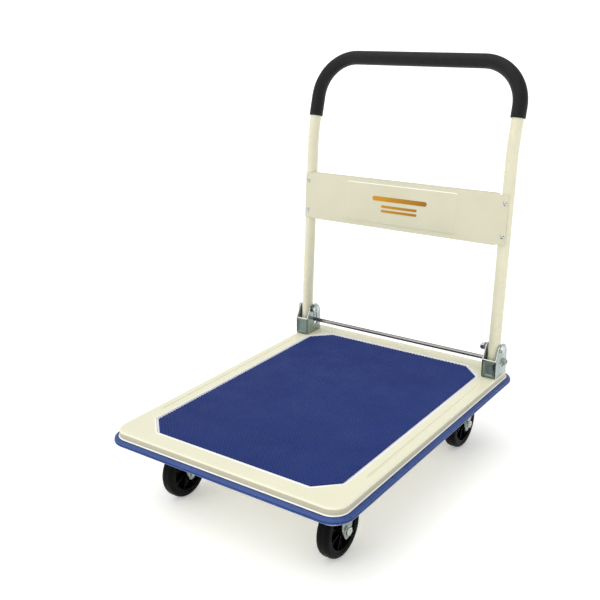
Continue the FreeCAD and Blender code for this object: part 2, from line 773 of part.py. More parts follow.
def make_panel_screws():
    """Pan-head screws that hold the tabs to the legs."""
    screws = []
    for side in SIDES.values():
        for s in panel_screw_heights():
            seat = V(side * leg_x, panel_front(), s)
            head = Part.makeCylinder(panel_screw_head_r, panel_screw_head, seat, V(0, -1, 0))
            rim = [e for e in head.Edges if e.BoundBox.YLength < 1e-6 and e.BoundBox.YMin < seat.y - 1]
            head = head.makeFillet(panel_screw_head * 0.7, rim)
            slot_y = seat.y - panel_screw_head
            long, narrow, depth = screw_cross
            for size_x, size_z in ((long, narrow), (narrow, long)):
                head = head.cut(box(seat.x - size_x, seat.x + size_x, slot_y - 1, slot_y + depth,
                                    s - size_z, s + size_z))
            shank = Part.makeCylinder(panel_screw_r, panel_screw_length, seat, Y_AXIS)
            screws.append(head.fuse(shank))
    return stand_handle(compound(screws))


def make_panel_mark():
    """Plain printed bars in the middle of the raised field."""
    face = panel_front() - field_raise
    middle = panel_bottom + panel_height / 2
    bars = []
    for length, height, rise in mark_bars:
        corners = [V(sx * length / 2, face, middle + rise + sz * height / 2)
                   for sx, sz in ((-1, -1), (1, -1), (1, 1), (-1, 1))]
        bars.append(plate(corners, [height * 0.45] * 4, V(0, -mark_thickness, 0)))
    return stand_handle(compound(bars))


# ---------------------------------------------------------------- casters
def fork_leg_outline(offset, rise):
    """Outline of one fork leg about the axle: (y, z) points and corner radii."""
    corners = list(fork_tip)
    corners += [(offset + crown_r, rise - fork_back_drop, fork_back_r), (offset + crown_r, rise, 0.0),
                (offset - crown_r, rise, 0.0), (offset - crown_r, rise - fork_front_drop, fork_front_r)]
    return [corner[:2] for corner in corners], [corner[2] for corner in corners]


def fork_legs(centre, offset, top):
    """Both legs of a fork, from its top down past the axle."""
    points, radii = fork_leg_outline(offset, top - wheel_r)
    legs = []
    for x0 in (-fork_gap - fork_sheet, fork_gap):
        outline = [V(centre.x + x0, centre.y + y, wheel_r + z) for y, z in points]
        leg = plate(outline, radii, V(fork_sheet, 0, 0))
        hole = Part.makeCylinder(axle_r + bolt_hole_clearance / 2, fork_sheet + 2,
                                 V(centre.x + x0 - 1, centre.y, wheel_r), X_AXIS)
        legs.append(leg.cut(hole))
    return legs


def plate_with_holes(centre):
    """Mounting plate of a caster."""
    slab = rounded_slab(plate_size[0] / 2, plate_size[1] / 2, plate_corner, plate_bottom, plate_top,
                        (centre.x, centre.y))
    for sx in (-1, 1):
        for sy in (-1, 1):
            place = centre + V(sx * plate_holes[0] / 2, sy * plate_holes[1] / 2, plate_bottom - 1)
            slab = slab.cut(Part.makeCylinder(caster_bolt_r + bolt_hole_clearance, plate_sheet + 2, place))
    return slab


def make_rigid_fork(side):
    """Rigid fork: plate and both legs from one pressing."""
    axle = V(side * caster_x, front_axle_y, wheel_r)
    legs = fork_legs(axle, front_offset, plate_bottom)
    slab = plate_with_holes(V(side * caster_x, front_plate_y, 0))
    return slab.fuse(legs).removeSplitter()


def make_swivel_plate(side):
    """Top plate of a swivel caster with the upper race pressed down from it."""
    centre = V(side * caster_x, kingpin_y, 0)
    slab = plate_with_holes(centre)
    race = Part.makeCylinder(race_r, race_depth, centre + V(0, 0, race_bottom))
    race = race.makeFillet(race_rounding, flat_edges(race, race_bottom))
    bore = Part.makeCylinder(kingpin_r, 30, centre + V(0, 0, race_bottom - 5))
    return slab.fuse(race).cut(bore).removeSplitter()


def make_swivel_balls(side):
    """Balls of the swivel race."""
    centre = V(side * caster_x, kingpin_y, race_bottom - ball_r)
    balls = []
    for i in range(ball_count):
        turn = 2 * math.pi * i / ball_count
        balls.append(Part.makeSphere(ball_r, centre + V(ball_ring_r * math.cos(turn),
                                                        ball_ring_r * math.sin(turn), 0)))
    return compound(balls)


def make_swivel_fork(side):
    """Swivel fork: round crown and both legs from one pressing."""
    axle = V(side * caster_x, rear_axle_y, wheel_r)
    crown_bottom = crown_top - fork_sheet
    crown = Part.makeCylinder(crown_r, fork_sheet, V(axle.x, kingpin_y, crown_bottom))
    legs = fork_legs(axle, trail, crown_top)
    fork = crown.fuse(legs)
    bore = Part.makeCylinder(kingpin_r + running_clearance, 20, V(axle.x, kingpin_y, crown_bottom - 5))
    return fork.cut(bore).removeSplitter()


def make_kingpin(side):
    """Kingpin with its lower head, riveted over above the plate."""
    centre = V(side * caster_x, kingpin_y, 0)
    low = crown_top - fork_sheet - crown_gap - kingpin_head
    head = Part.makeCylinder(kingpin_head_r, kingpin_head, centre + V(0, 0, low))
    head = head.makeFillet(kingpin_rounding, flat_edges(head, low))
    shank = Part.makeCylinder(kingpin_r, plate_top - low, centre + V(0, 0, low))
    cap = Part.makeCylinder(kingpin_head_r, kingpin_rivet, centre + V(0, 0, plate_top))
    cap = cap.makeFillet(kingpin_rounding, flat_edges(cap, plate_top + kingpin_rivet))
    return head.fuse([shank, cap]).removeSplitter()


def wheel_centre(side, rear):
    """Centre of one wheel."""
    return V(side * caster_x, rear_axle_y if rear else front_axle_y, wheel_r)


def make_tyre(centre):
    """Rubber tyre with rounded shoulders and a lip over the rim."""
    half = tyre_half
    points = [(-half, rim_r)]
    for i in range(5):
        turn = math.radians(90 * i / 4)
        points.append((-half + tyre_edge * (1 - math.cos(turn)), wheel_r - tyre_edge * (1 - math.sin(turn))))
    for i in range(5):
        turn = math.radians(90 * (4 - i) / 4)
        points.append((half - tyre_edge * (1 - math.cos(turn)), wheel_r - tyre_edge * (1 - math.sin(turn))))
    points.append((half, rim_r))
    return revolve_about_x(points, centre)


def make_wheel_core(centre):
    """Plastic core: rim, thin web, hub and radial ribs on both faces."""
    inner = rim_r - rim_depth
    outline = [(-rim_half, rim_r), (rim_half, rim_r), (rim_half, inner), (core_web_half, inner),
               (core_web_half, core_hub_r), (core_hub_half, core_hub_r), (core_hub_half, wheel_bush_r),
               (-core_hub_half, wheel_bush_r), (-core_hub_half, core_hub_r), (-core_web_half, core_hub_r),
               (-core_web_half, inner), (-rim_half, inner)]
    core = revolve_about_x(outline, centre)
    half = rim_half - core_rib_inset
    ribs = []
    for i in range(core_ribs):
        rib = box(-half, half, -core_rib_half, core_rib_half, core_hub_r - 1, inner + 1)
        rib.rotate(V(0, 0, 0), X_AXIS, 360 * i / core_ribs)
        rib.translate(centre)
        ribs.append(rib)
    return core.fuse(ribs).removeSplitter()


def make_wheel_bush(centre):
    """Steel sleeve in the core, running on the axle bolt."""
    start = centre - V(wheel_bush_half, 0, 0)
    sleeve = Part.makeCylinder(wheel_bush_r, 2 * wheel_bush_half, start, X_AXIS)
    return sleeve.cut(Part.makeCylinder(axle_r + running_clearance, 2 * wheel_bush_half, start, X_AXIS))


def make_axle_bolt(centre):
    """Axle bolt with its head on the left leg."""
    reach = fork_gap + fork_sheet
    length = 2 * reach + hex_sizes[axle_r][1] + thread_end
    return bolt(axle_r, length, centre - V(reach, 0, 0), X_AXIS)


def make_axle_nut(centre):
    """Nut of the axle bolt, on the right leg."""
    return nut(axle_r, centre + V(fork_gap + fork_sheet, 0, 0), X_AXIS)


def caster_bolt_places():
    """Places of all the bolts that hold the casters to the channels."""
    return caster_plate_holes(front_plate_y) + caster_plate_holes(kingpin_y)


def make_caster_bolts():
    """Bolts from below through the caster plates and the channels."""
    length = plate_sheet + channel_sheet + hex_sizes[caster_bolt_r][1] + thread_end
    return compound([bolt(caster_bolt_r, length, place + V(0, 0, plate_bottom), Z_AXIS)
                     for place in caster_bolt_places()])


def make_caster_nuts():
    """Nuts inside the channels."""
    return compound([nut(caster_bolt_r, place + V(0, 0, plate_top + channel_sheet), Z_AXIS)
                     for place in caster_bolt_places()])


# ---------------------------------------------------------------- build
def build():
    """Make and write every piece."""
    os.makedirs("parts", exist_ok=True)
    save("deck_pan", make_deck_pan())
    save("deck_bumper", make_deck_bumper())
    save("deck_mat", make_deck_mat())
    save("front_channel", make_channel(front_plate_y, False))
    save("rear_channel", make_channel(kingpin_y, True))
    save("bracket_bolts", make_bracket_bolts())
    save("bracket_nuts", make_bracket_nuts())
    save("pivot_bolts", make_pivot_bolts())
    save("pivot_nuts", make_pivot_nuts())
    save("lock_rod", make_lock_rod())
    save("rod_nuts", make_rod_nuts())
    save("handle_tube", make_handle_tube())
    save("handle_grip", make_handle_grip())
    save("pivot_bushes", make_pivot_bushes())
    save("tube_plugs", make_tube_plugs())
    save("handle_panel", make_handle_panel())
    save("panel_screws", make_panel_screws())
    save("panel_mark", make_panel_mark())
    front_wheels = [wheel_centre(side, False) for side in SIDES.values()]
    save("axle_bolts_front", compound([make_axle_bolt(centre) for centre in front_wheels]))
    save("axle_nuts_front", compound([make_axle_nut(centre) for centre in front_wheels]))
    for letter, side in SIDES.items():
        save("side_rail_" + letter, make_side_rail(side))
        save("bracket_" + letter, make_bracket(side))
        save("rod_spring_" + letter, make_rod_spring(side))
        save("rigid_fork_f" + letter, make_rigid_fork(side))
        save("swivel_plate_r" + letter, make_swivel_plate(side))
        save("swivel_balls_r" + letter, make_swivel_balls(side))
        save("swivel_fork_r" + letter, make_swivel_fork(side))
        save("kingpin_r" + letter, make_kingpin(side))
        save("axle_bolt_r" + letter, make_axle_bolt(wheel_centre(side, True)))
        save("axle_nut_r" + letter, make_axle_nut(wheel_centre(side, True)))
        for row, rear in (("f", False), ("r", True)):
            centre = wheel_centre(side, rear)
            save("tyre_" + row + letter, make_tyre(centre))
            save("wheel_core_" + row + letter, make_wheel_core(centre))
            save("wheel_bush_" + row + letter, make_wheel_bush(centre))
    save("caster_bolts", make_caster_bolts())
    save("caster_nuts", make_caster_nuts())


build()
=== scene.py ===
"""Looks of the folding platform cart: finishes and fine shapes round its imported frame, in metres, +Z up.

Each sub-assembly is a class. Its sizes are in millimetres, and a mesh is turned to metres when it is finished.
"""
from __future__ import annotations

import json
import logging
import math
from dataclasses import dataclass, field
from enum import Enum
from typing import Callable, Iterable, Sequence

import bmesh
import bpy
from bmesh.types import BMEdge, BMesh, BMFace, BMVert
from bpy.types import Node, NodeSocket, NodeTree
from mathutils import Matrix, Vector

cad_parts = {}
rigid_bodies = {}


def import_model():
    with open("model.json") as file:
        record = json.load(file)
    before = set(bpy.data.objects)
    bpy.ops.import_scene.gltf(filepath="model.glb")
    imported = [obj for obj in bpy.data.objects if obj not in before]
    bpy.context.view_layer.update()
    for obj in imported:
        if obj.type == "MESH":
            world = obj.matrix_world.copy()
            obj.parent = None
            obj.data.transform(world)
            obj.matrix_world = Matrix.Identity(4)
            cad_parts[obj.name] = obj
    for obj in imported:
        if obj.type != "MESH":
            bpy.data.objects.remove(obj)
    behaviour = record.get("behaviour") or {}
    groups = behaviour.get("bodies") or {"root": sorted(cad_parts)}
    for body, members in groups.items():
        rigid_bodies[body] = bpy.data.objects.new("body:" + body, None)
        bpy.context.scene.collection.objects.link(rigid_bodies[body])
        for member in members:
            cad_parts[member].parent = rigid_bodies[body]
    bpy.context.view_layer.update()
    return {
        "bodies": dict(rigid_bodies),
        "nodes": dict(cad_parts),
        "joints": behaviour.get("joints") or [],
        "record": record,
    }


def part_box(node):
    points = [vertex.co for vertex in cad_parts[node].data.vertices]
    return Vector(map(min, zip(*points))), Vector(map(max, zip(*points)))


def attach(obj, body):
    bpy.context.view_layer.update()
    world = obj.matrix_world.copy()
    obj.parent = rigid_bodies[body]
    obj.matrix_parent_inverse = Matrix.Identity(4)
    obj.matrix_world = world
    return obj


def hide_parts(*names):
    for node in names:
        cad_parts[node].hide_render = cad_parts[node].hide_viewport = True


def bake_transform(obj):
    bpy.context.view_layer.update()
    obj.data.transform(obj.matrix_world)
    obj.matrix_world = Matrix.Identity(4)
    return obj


MM = 0.001
TOUCH = 1e-4  # Lengths below this count as nothing, in millimetres.
WELD = 0.002  # Points nearer than this are one, in millimetres.
X_AXIS = Vector((1, 0, 0))
Y_AXIS = Vector((0, 1, 0))
Z_AXIS = Vector((0, 0, 1))
Profile = tuple[tuple[float, float], ...]
log = logging.getLogger("cart")


class Body(Enum):
    """Bodies of the frame that pieces ride on."""

    DECK = "deck"
    HANDLE = "handle"
    ROD = "lock_rod_body"


class Side(Enum):
    """Left or right half of the cart."""

    LEFT = "l"
    RIGHT = "r"

    @property
    def sign(self) -> int:
        """-1 on the left and +1 on the right."""
        return -1 if self is Side.LEFT else 1


# ---------------------------------------------------------------- finishes
def linear(code: str) -> tuple[float, float, float, float]:
    """Turn an sRGB hex colour to a linear one.

    Args:
        code: Six hex digits after a hash sign.

    Returns:
        Linear red, green and blue, and an alpha of 1.
    """
    channels = [int(code[i:i + 2], 16) / 255 for i in (1, 3, 5)]
    flat = [c / 12.92 if c <= 0.04045 else ((c + 0.055) / 1.055) ** 2.4 for c in channels]
    return flat[0], flat[1], flat[2], 1.0


def add_node(tree: NodeTree, kind: str, settings: dict | None = None, values: dict | None = None,
             links: dict | None = None) -> Node:
    """Add one node.

    Args:
        tree: The material's node tree.
        kind: Node type.
        settings: Attributes to set.
        values: Input values by name or number.
        links: Output sockets to link, by input name or number.

    Returns:
        The new node.
    """
    node = tree.nodes.new(kind)
    for name, value in (settings or {}).items():
        setattr(node, name, value)
    for name, value in (values or {}).items():
        node.inputs[name].default_value = value
    for name, socket in (links or {}).items():
        tree.links.new(socket, node.inputs[name])
    return node


def between(low: float, high: float, to_low: float, to_high: float) -> dict[str, float]:
    """Values that map a range to another one, held at its ends."""
    return {"From Min": low, "From Max": high, "To Min": to_low, "To Max": to_high}


@dataclass(frozen=True)
class Finish:
    """A surface with colour patches, grain, uneven gloss and edges mixed toward a second colour: a painted
    highlight on the cream coats, the zinc and the PVC, and wear on the other finishes.
    """

    name: str
    colour: str
    patch_colour: str
    patch_mm: float = 40.0
    patch_share: float = 0.5
    grain_mm: float = 1.0
    grain_depth_mm: float = 0.02
    roughness: float = 0.4
    roughness_spread: float = 0.08
    metallic: float = 0.0
    ior: float = 1.5
    specular: float = 0.5
    coat: float = 0.0
    coat_roughness: float = 0.2
    sheen: float = 0.0
    edge_mm: float = 0.5
    edge_colour: str = "#808080"
    edge_share: float = 0.3
    edge_least: float = 0.0
    wear_and_highlight_mm: float = 7.0
    glow: float = 0.0
    stretch: tuple[float, float, float] = (1.0, 1.0, 1.0)

    def pattern(self, tree: NodeTree, size_mm: float, detail: float,
                stretch: tuple[float, float, float] = (1.0, 1.0, 1.0)) -> NodeSocket:
        """Cloudy noise of a real size.

        Args:
            tree: Node tree.
            size_mm: Size of one patch.
            detail: Octaves.
            stretch: How much longer the patches are along X, Y and Z.

        Returns:
            The noise's value socket.
        """
        place = add_node(tree, "ShaderNodeTexCoord").outputs["Object"]
        scale = tuple(1 / s for s in stretch)
        mapping = add_node(tree, "ShaderNodeMapping", values={"Scale": scale}, links={"Vector": place})
        noise = add_node(tree, "ShaderNodeTexNoise",
                         values={"Scale": 1000 / size_mm, "Detail": detail, "Roughness": 0.55},
                         links={"Vector": mapping.outputs["Vector"]})
        return noise.outputs[0]

    def over(self, tree: NodeTree, colour: NodeSocket, code: str,
             share: NodeSocket) -> NodeSocket:
        """Lay a second colour over a surface.

        Args:
            tree: Node tree.
            colour: Colour so far.
            code: Second colour, as six hex digits after a hash sign.
            share: How much of it shows.

        Returns:
            The mixed colour.
        """
        return add_node(tree, "ShaderNodeMixRGB", values={"Color2": linear(code)},
                        links={"Fac": share, "Color1": colour}).outputs["Color"]

    def height(self, tree: NodeTree) -> NodeSocket:
        """Fine relief of the surface."""
        return self.pattern(tree, self.grain_mm, 3.0, self.stretch)

    def tint(self, tree: NodeTree, colour: NodeSocket) -> NodeSocket:
        """Last change of the colour; a plain finish makes none."""
        return colour

    def rough(self, tree: NodeTree) -> NodeSocket:
        """Uneven gloss, with rubbed patches a few centimetres wide."""
        cloud = self.pattern(tree, self.patch_mm * 0.35, 5.0, self.stretch)
        ends = (0.3, 0.7, self.roughness - self.roughness_spread, self.roughness + self.roughness_spread)
        gloss = add_node(tree, "ShaderNodeMapRange", values=between(*ends), links={"Value": cloud})
        return gloss.outputs["Result"]

    def build(self) -> bpy.types.Material:
        """Make the material once, and give the same one when asked again.

        Returns:
            The material.
        """
        known = bpy.data.materials.get(self.name)
        if known:
            return known
        material = bpy.data.materials.new(self.name)
        material.use_nodes = True
        material.diffuse_color = linear(self.colour)
        tree = material.node_tree
        shader = tree.nodes["Principled BSDF"]
        cloud = add_node(tree, "ShaderNodeMapRange", values=between(0.35, 0.65, 0.0, self.patch_share),
                         links={"Value": self.pattern(tree, self.patch_mm, 4.0, self.stretch)})
        base = add_node(tree, "ShaderNodeMixRGB", values={"Color1": linear(self.colour),
                                                          "Color2": linear(self.patch_colour)},
                        links={"Fac": cloud.outputs["Result"]}).outputs["Color"]
        soft = add_node(tree, "ShaderNodeBevel", {"samples": 4},
                        {"Radius": self.edge_mm * MM}).outputs["Normal"]
        flat = add_node(tree, "ShaderNodeNewGeometry").outputs["Normal"]
        turn = add_node(tree, "ShaderNodeVectorMath", {"operation": "DOT_PRODUCT"},
                        links={0: soft, 1: flat}).outputs["Value"]
        # Edges mixed toward edge_colour: painted highlight on the cream coats, the zinc and the PVC; wear on
        # the other finishes.
        edge = add_node(tree, "ShaderNodeMapRange", values=between(0.97, 0.75, 0.0, 1.0),
                        links={"Value": turn})
        patchy = add_node(tree, "ShaderNodeMapRange",
                          values=between(0.42, 0.62, self.edge_least, self.edge_share),
                          links={"Value": self.pattern(tree, self.wear_and_highlight_mm, 5.0)})
        wear_and_highlight = add_node(tree, "ShaderNodeMath", {"operation": "MULTIPLY"},
                        links={0: edge.outputs["Result"], 1: patchy.outputs["Result"]}).outputs["Value"]
        colour = self.over(tree, base, self.edge_colour, wear_and_highlight)
        bump = add_node(tree, "ShaderNodeBump", values={"Strength": 1.0, "Distance": self.grain_depth_mm * MM},
                        links={"Height": self.height(tree), "Normal": soft})
        tree.links.new(self.tint(tree, colour), shader.inputs["Base Color"])
        tree.links.new(self.rough(tree), shader.inputs["Roughness"])
        tree.links.new(bump.outputs["Normal"], shader.inputs["Normal"])
        for name, value in (("Metallic", self.metallic), ("IOR", self.ior),
                            ("Specular IOR Level", self.specular), ("Coat Weight", self.coat),
                            ("Coat Roughness", self.coat_roughness),
                            ("Sheen Weight", self.sheen), ("Emission Color", linear(self.colour)),
                            ("Emission Strength", self.glow)):
            shader.inputs[name].default_value = value
        return material


@dataclass(frozen=True)
class Foam(Finish):
    """Closed-cell foam: a matt skin pitted with tiny cells."""

    cell_mm: float = 1.1
    lump_mm: float = 3.0

    def height(self, tree: NodeTree) -> NodeSocket:
        """Cells, drawn a little coarser than real ones so that they show."""
        place = add_node(tree, "ShaderNodeTexCoord").outputs["Object"]
        cells = add_node(tree, "ShaderNodeTexVoronoi", values={"Scale": 1000 / self.cell_mm},
                         links={"Vector": place}).outputs["Distance"]
        cloud = self.pattern(tree, self.lump_mm, 4.0)
        return add_node(tree, "ShaderNodeMath", {"operation": "ADD"},
                        links={0: cells, 1: cloud}).outputs["Value"]


@dataclass(frozen=True)
class ZincPlate(Finish):
    """Zinc-plated steel: cool grey, smeary gloss and dull bluish stains from the bath."""

    stain_colour: str = "#5F6B70"
    stain_mm: float = 11.0
    stain_share: float = 0.4

    def tint(self, tree: NodeTree, colour: NodeSocket) -> NodeSocket:
        """Add dull stains of about a centimetre.

        Args:
            tree: Node tree.
            colour: Colour so far.

        Returns:
            The stained colour.
        """
        stain = add_node(tree, "ShaderNodeMapRange", values=between(0.5, 0.74, 0.0, self.stain_share),
                         links={"Value": self.pattern(tree, self.stain_mm, 4.0)})
        return self.over(tree, colour, self.stain_colour, stain.outputs["Result"])


@dataclass(frozen=True)
class DeckCoat(Finish):
    """Powder coat of the deck, with painted shade on the skirt's wall."""

    # Painted shade: the skirt's wall is darkened between these two heights.
    painted_shade_colour: str = "#BDB9A1"
    painted_shade_low_mm: float = 142.2
    painted_shade_high_mm: float = 152.0
    painted_shade_fade_mm: float = 1.2
    painted_shade_share: float = 1.0

    def tint(self, tree: NodeTree, colour: NodeSocket) -> NodeSocket:
        """Mix painted shade of the skirt's wall in between two heights.

        Args:
            tree: Node tree.
            colour: Colour so far.

        Returns:
            The colour with the painted shade.
        """
        place = add_node(tree, "ShaderNodeTexCoord").outputs["Object"]
        z = add_node(tree, "ShaderNodeSeparateXYZ", links={"Vector": place}).outputs["Z"]
        low, high, fade = self.painted_shade_low_mm * MM, self.painted_shade_high_mm * MM, self.painted_shade_fade_mm * MM
        above, below = (add_node(tree, "ShaderNodeMapRange", values=between(*ends), links={"Value": z})
                        for ends in ((low, low + fade, 0.0, self.painted_shade_share), (high - fade, high, 1.0, 0.0)))
        share = add_node(tree, "ShaderNodeMath", {"operation": "MULTIPLY"},
                         links={0: above.outputs["Result"], 1: below.outputs["Result"]}).outputs["Value"]
        return self.over(tree, colour, self.painted_shade_colour, share)


@dataclass(frozen=True)
class Printed(Finish):
    """Screen-printed ink with a slight fade across its width."""

    fade_colour: str = "#8E5B14"
    fade_mm: float = 60.0
    fade_share: float = 0.75

    def tint(self, tree: NodeTree, colour: NodeSocket) -> NodeSocket:
        """Mix in the fade colour by place along X.

        Args:
            tree: Node tree.
            colour: Colour so far.

        Returns:
            The faded colour.
        """
        place = add_node(tree, "ShaderNodeTexCoord").outputs["Object"]
        along = add_node(tree, "ShaderNodeSeparateXYZ", links={"Vector": place}).outputs["X"]
        ends = (-self.fade_mm * MM, self.fade_mm * MM, 0.0, self.fade_share)
        share = add_node(tree, "ShaderNodeMapRange", values=between(*ends), links={"Value": along})
        return self.over(tree, colour, self.fade_colour, share.outputs["Result"])


# Polyester powder coat on steel: even cream, soft gloss and a fine orange peel; its white edges are a painted
# highlight, and it is darkened on the skirt's wall as painted shade.
CREAM = DeckCoat("powder_coat_cream", "#F0EED3", "#EAE7CA", patch_mm=90, patch_share=0.6, grain_mm=1.6,
                 grain_depth_mm=0.012, roughness=0.34, roughness_spread=0.06, coat=0.1, coat_roughness=0.2,
                 edge_mm=1.1, edge_colour="#FFFFFF", edge_share=1.0, edge_least=0.8)
# Painted highlight: the same coat made white and glossier, on the pan's bead, recess, flare and lip and on the
# panel's raised field.
CREAM_PAINTED_HIGHLIGHT = Finish("powder_coat_painted_highlight", "#FFFFFF", "#FBFAF4", patch_mm=60, patch_share=0.5, grain_mm=1.6,
                   grain_depth_mm=0.008, roughness=0.26, roughness_spread=0.05, coat=0.2, coat_roughness=0.15,
                   edge_mm=0.6, edge_colour="#FFFFFF", edge_share=0.5)
# The same coat on the tube, a shade warmer and darker: painted shade of the upright tube; its paler edges are a
# painted highlight.
TUBE_CREAM = Finish("powder_coat_tube", "#E3E0C4", "#D9D5B8", patch_mm=60, patch_share=0.6, grain_mm=1.4,
                    grain_depth_mm=0.01, roughness=0.3, roughness_spread=0.06, coat=0.2, coat_roughness=0.15,
                    edge_mm=0.4, edge_colour="#F4F2DE", edge_share=0.3)
# And on the cross panel, in a slightly greyer and darker shade: painted shade of the upright panel.
PANEL_CREAM = Finish("powder_coat_panel", "#D9D6BB", "#D3CFB3", patch_mm=80, patch_share=0.6, grain_mm=1.5,
                     grain_depth_mm=0.012, roughness=0.34, roughness_spread=0.06, coat=0.1, coat_roughness=0.2,
                     edge_mm=0.6, edge_colour="#B9B59A", edge_share=0.6, edge_least=0.5)
# Thin primer coat under the deck: duller and a little dusty.
UNDERCOAT = Finish("primer_coat_underside", "#CFCBB4", "#B4AF98", patch_mm=55, patch_share=0.7, grain_mm=1.2,
                   grain_depth_mm=0.02, roughness=0.55, roughness_spread=0.12, edge_colour="#8F8B78")
# Extruded flexible PVC: saturated blue with a waxy gloss; its lighter edges are a painted highlight.
PVC_BLUE = Finish("pvc_bumper_blue", "#34508F", "#2D4783", patch_mm=45, patch_share=0.6, grain_mm=2.2,
                  grain_depth_mm=0.012, roughness=0.3, roughness_spread=0.07, specular=0.35, edge_mm=0.5,
                  edge_colour="#4F70B4", edge_share=0.5, edge_least=0.4)
# Calendered PVC matting: deep blue, even and matt.
MAT_BLUE = Finish("pvc_matting_blue", "#223777", "#1D3070", patch_mm=120, patch_share=0.7, grain_mm=0.9,
                  grain_depth_mm=0.03, roughness=0.55, roughness_spread=0.08, specular=0.15, edge_mm=0.2,
                  edge_colour="#2D4488", edge_share=0.2)
# Nitrile foam sleeve: black, matt and faintly velvety.
FOAM_BLACK = Foam("nitrile_foam_black", "#0D0E0E", "#141515", patch_mm=25, patch_share=0.6, grain_depth_mm=0.18,
                  roughness=0.5, roughness_spread=0.08, specular=0.25, sheen=0.02, edge_mm=0.5,
                  edge_colour="#1E1F1F")
# Zinc-plated sheet; its near-white edges are a painted highlight.
ZINC = ZincPlate("zinc_plated_sheet", "#9FABA7", "#8F9B97", patch_mm=26, patch_share=0.7, grain_mm=0.8,
                 grain_depth_mm=0.01, roughness=0.26, roughness_spread=0.08, metallic=0.92, edge_mm=0.45,
                 edge_colour="#F2F6F4", edge_share=1.0, edge_least=0.5, stain_colour="#7C8885")
# The same plate made darker over a bracket's whole web, a painted dark reflection: deep and glossy; its pale
# edges are a painted highlight.
ZINC_PAINTED_DARK = ZincPlate("zinc_painted_dark_reflection", "#72807C", "#65736F", patch_mm=18, patch_share=0.4,
                      grain_mm=0.8, grain_depth_mm=0.004, roughness=0.28, roughness_spread=0.03,
                      metallic=0.95, edge_mm=0.45, edge_colour="#E2E8E6", edge_share=0.8, edge_least=0.3,
                      stain_colour="#55625F")
# Brighter zinc on turned and headed parts, with near-white edges as a painted highlight; on a bracket's lip and
# ear rims all of it is a painted highlight.
ZINC_BRIGHT = ZincPlate("zinc_bright_fasteners_and_painted_highlight", "#CBD0CD", "#AFB6B3", patch_mm=9, patch_share=0.7,
                        grain_mm=0.6, grain_depth_mm=0.01, roughness=0.24, roughness_spread=0.08,
                        metallic=1.0, edge_mm=0.4, edge_colour="#F4F6F5", edge_share=0.8,
                        stain_colour="#939B98")
# Drawn bright steel bar: smooth, with long drawing lines along it.
ROD_STEEL = ZincPlate("drawn_steel_rod", "#918F8B", "#7B7975", patch_mm=14, patch_share=0.7, grain_mm=0.5,
                      grain_depth_mm=0.008, roughness=0.2, roughness_spread=0.06, metallic=1.0, edge_mm=0.3,
                      stain_colour="#77736E", stretch=(12.0, 1.0, 1.0))
# Oil-tempered spring wire: dark grey with drawing lines.
SPRING_WIRE = ZincPlate("spring_wire", "#9A9E9D", "#7C8182", patch_mm=6, patch_share=0.7, grain_mm=0.5,
                        grain_depth_mm=0.015, roughness=0.3, metallic=1.0, edge_mm=0.2)
# Moulded natural rubber: near black, dusty on its tread.
TYRE_RUBBER = Finish("tyre_rubber_black", "#040505", "#0B0C0C", patch_mm=30, patch_share=0.8, grain_mm=1.1,
                     grain_depth_mm=0.05, roughness=0.42, roughness_spread=0.1, specular=0.07, edge_mm=0.6,
                     edge_colour="#1E201F", edge_share=0.6)
# Moulded polypropylene: near black with a soft sheen.
POLYPROPYLENE = Finish("polypropylene_black", "#020303", "#050607", patch_mm=20, patch_share=0.6, grain_mm=0.9,
                       grain_depth_mm=0.02, roughness=0.3, roughness_spread=0.1, specular=0.06, edge_mm=0.7,
                       edge_colour="#121618", edge_share=0.5)
# Screen ink on the panel.
INK_ORANGE = Printed("screen_ink_orange", "#D39A22", "#C98C18", patch_mm=18, patch_share=0.5, grain_mm=0.7,
                     grain_depth_mm=0.01, roughness=0.45, specular=0.2, edge_mm=0.1, edge_colour="#C58E22")
# Matt studio floor, lit a little from behind as a light table is.
FLOOR_WHITE = Finish("studio_floor_white", "#FDFDFD", "#FAFAFA", patch_mm=900, patch_share=0.5, grain_mm=4.0,
                     grain_depth_mm=0.01, roughness=0.9, roughness_spread=0.03, specular=0.1, edge_share=0.0,
                     glow=0.3)


# ---------------------------------------------------------------- mesh work
def box_mm(node: str) -> tuple[Vector, Vector]:
    """Lowest and highest corner of a frame node, in millimetres."""
    low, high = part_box(node)
    return low / MM, high / MM


def middle_mm(node: str) -> Vector:
    """Centre of a frame node's box, in millimetres."""
    low, high = box_mm(node)
    return (low + high) / 2


def half_mm(node: str) -> Vector:
    """Half the size of a frame node's box, in millimetres."""
    low, high = box_mm(node)
    return (high - low) / 2


def verts_of(items: Iterable) -> list[BMVert]:
    """The vertices among an operator's results."""
    return [g for g in items if isinstance(g, BMVert)]


def edges_of(items: Iterable) -> list[BMEdge]:
    """The edges among an operator's results."""
    return [g for g in items if isinstance(g, BMEdge)]


def outline(bm: BMesh, points: Sequence[Vector], closed: bool = True) -> list[BMEdge]:
    """A line of edges through points.

    Args:
        bm: Mesh to add to.
        points: Corners in order.
        closed: Whether the last corner joins the first.

    Returns:
        The edges.
    """
    verts = [bm.verts.new(p) for p in points]
    ends = verts[1:] + verts[:1] if closed else verts[1:]
    return [bm.edges.new((a, b)) for a, b in zip(verts, ends)]


def filled(bm: BMesh, points: Sequence[Vector]) -> BMFace:
    """A flat face with these corners."""
    return bm.faces.new([bm.verts.new(p) for p in points])


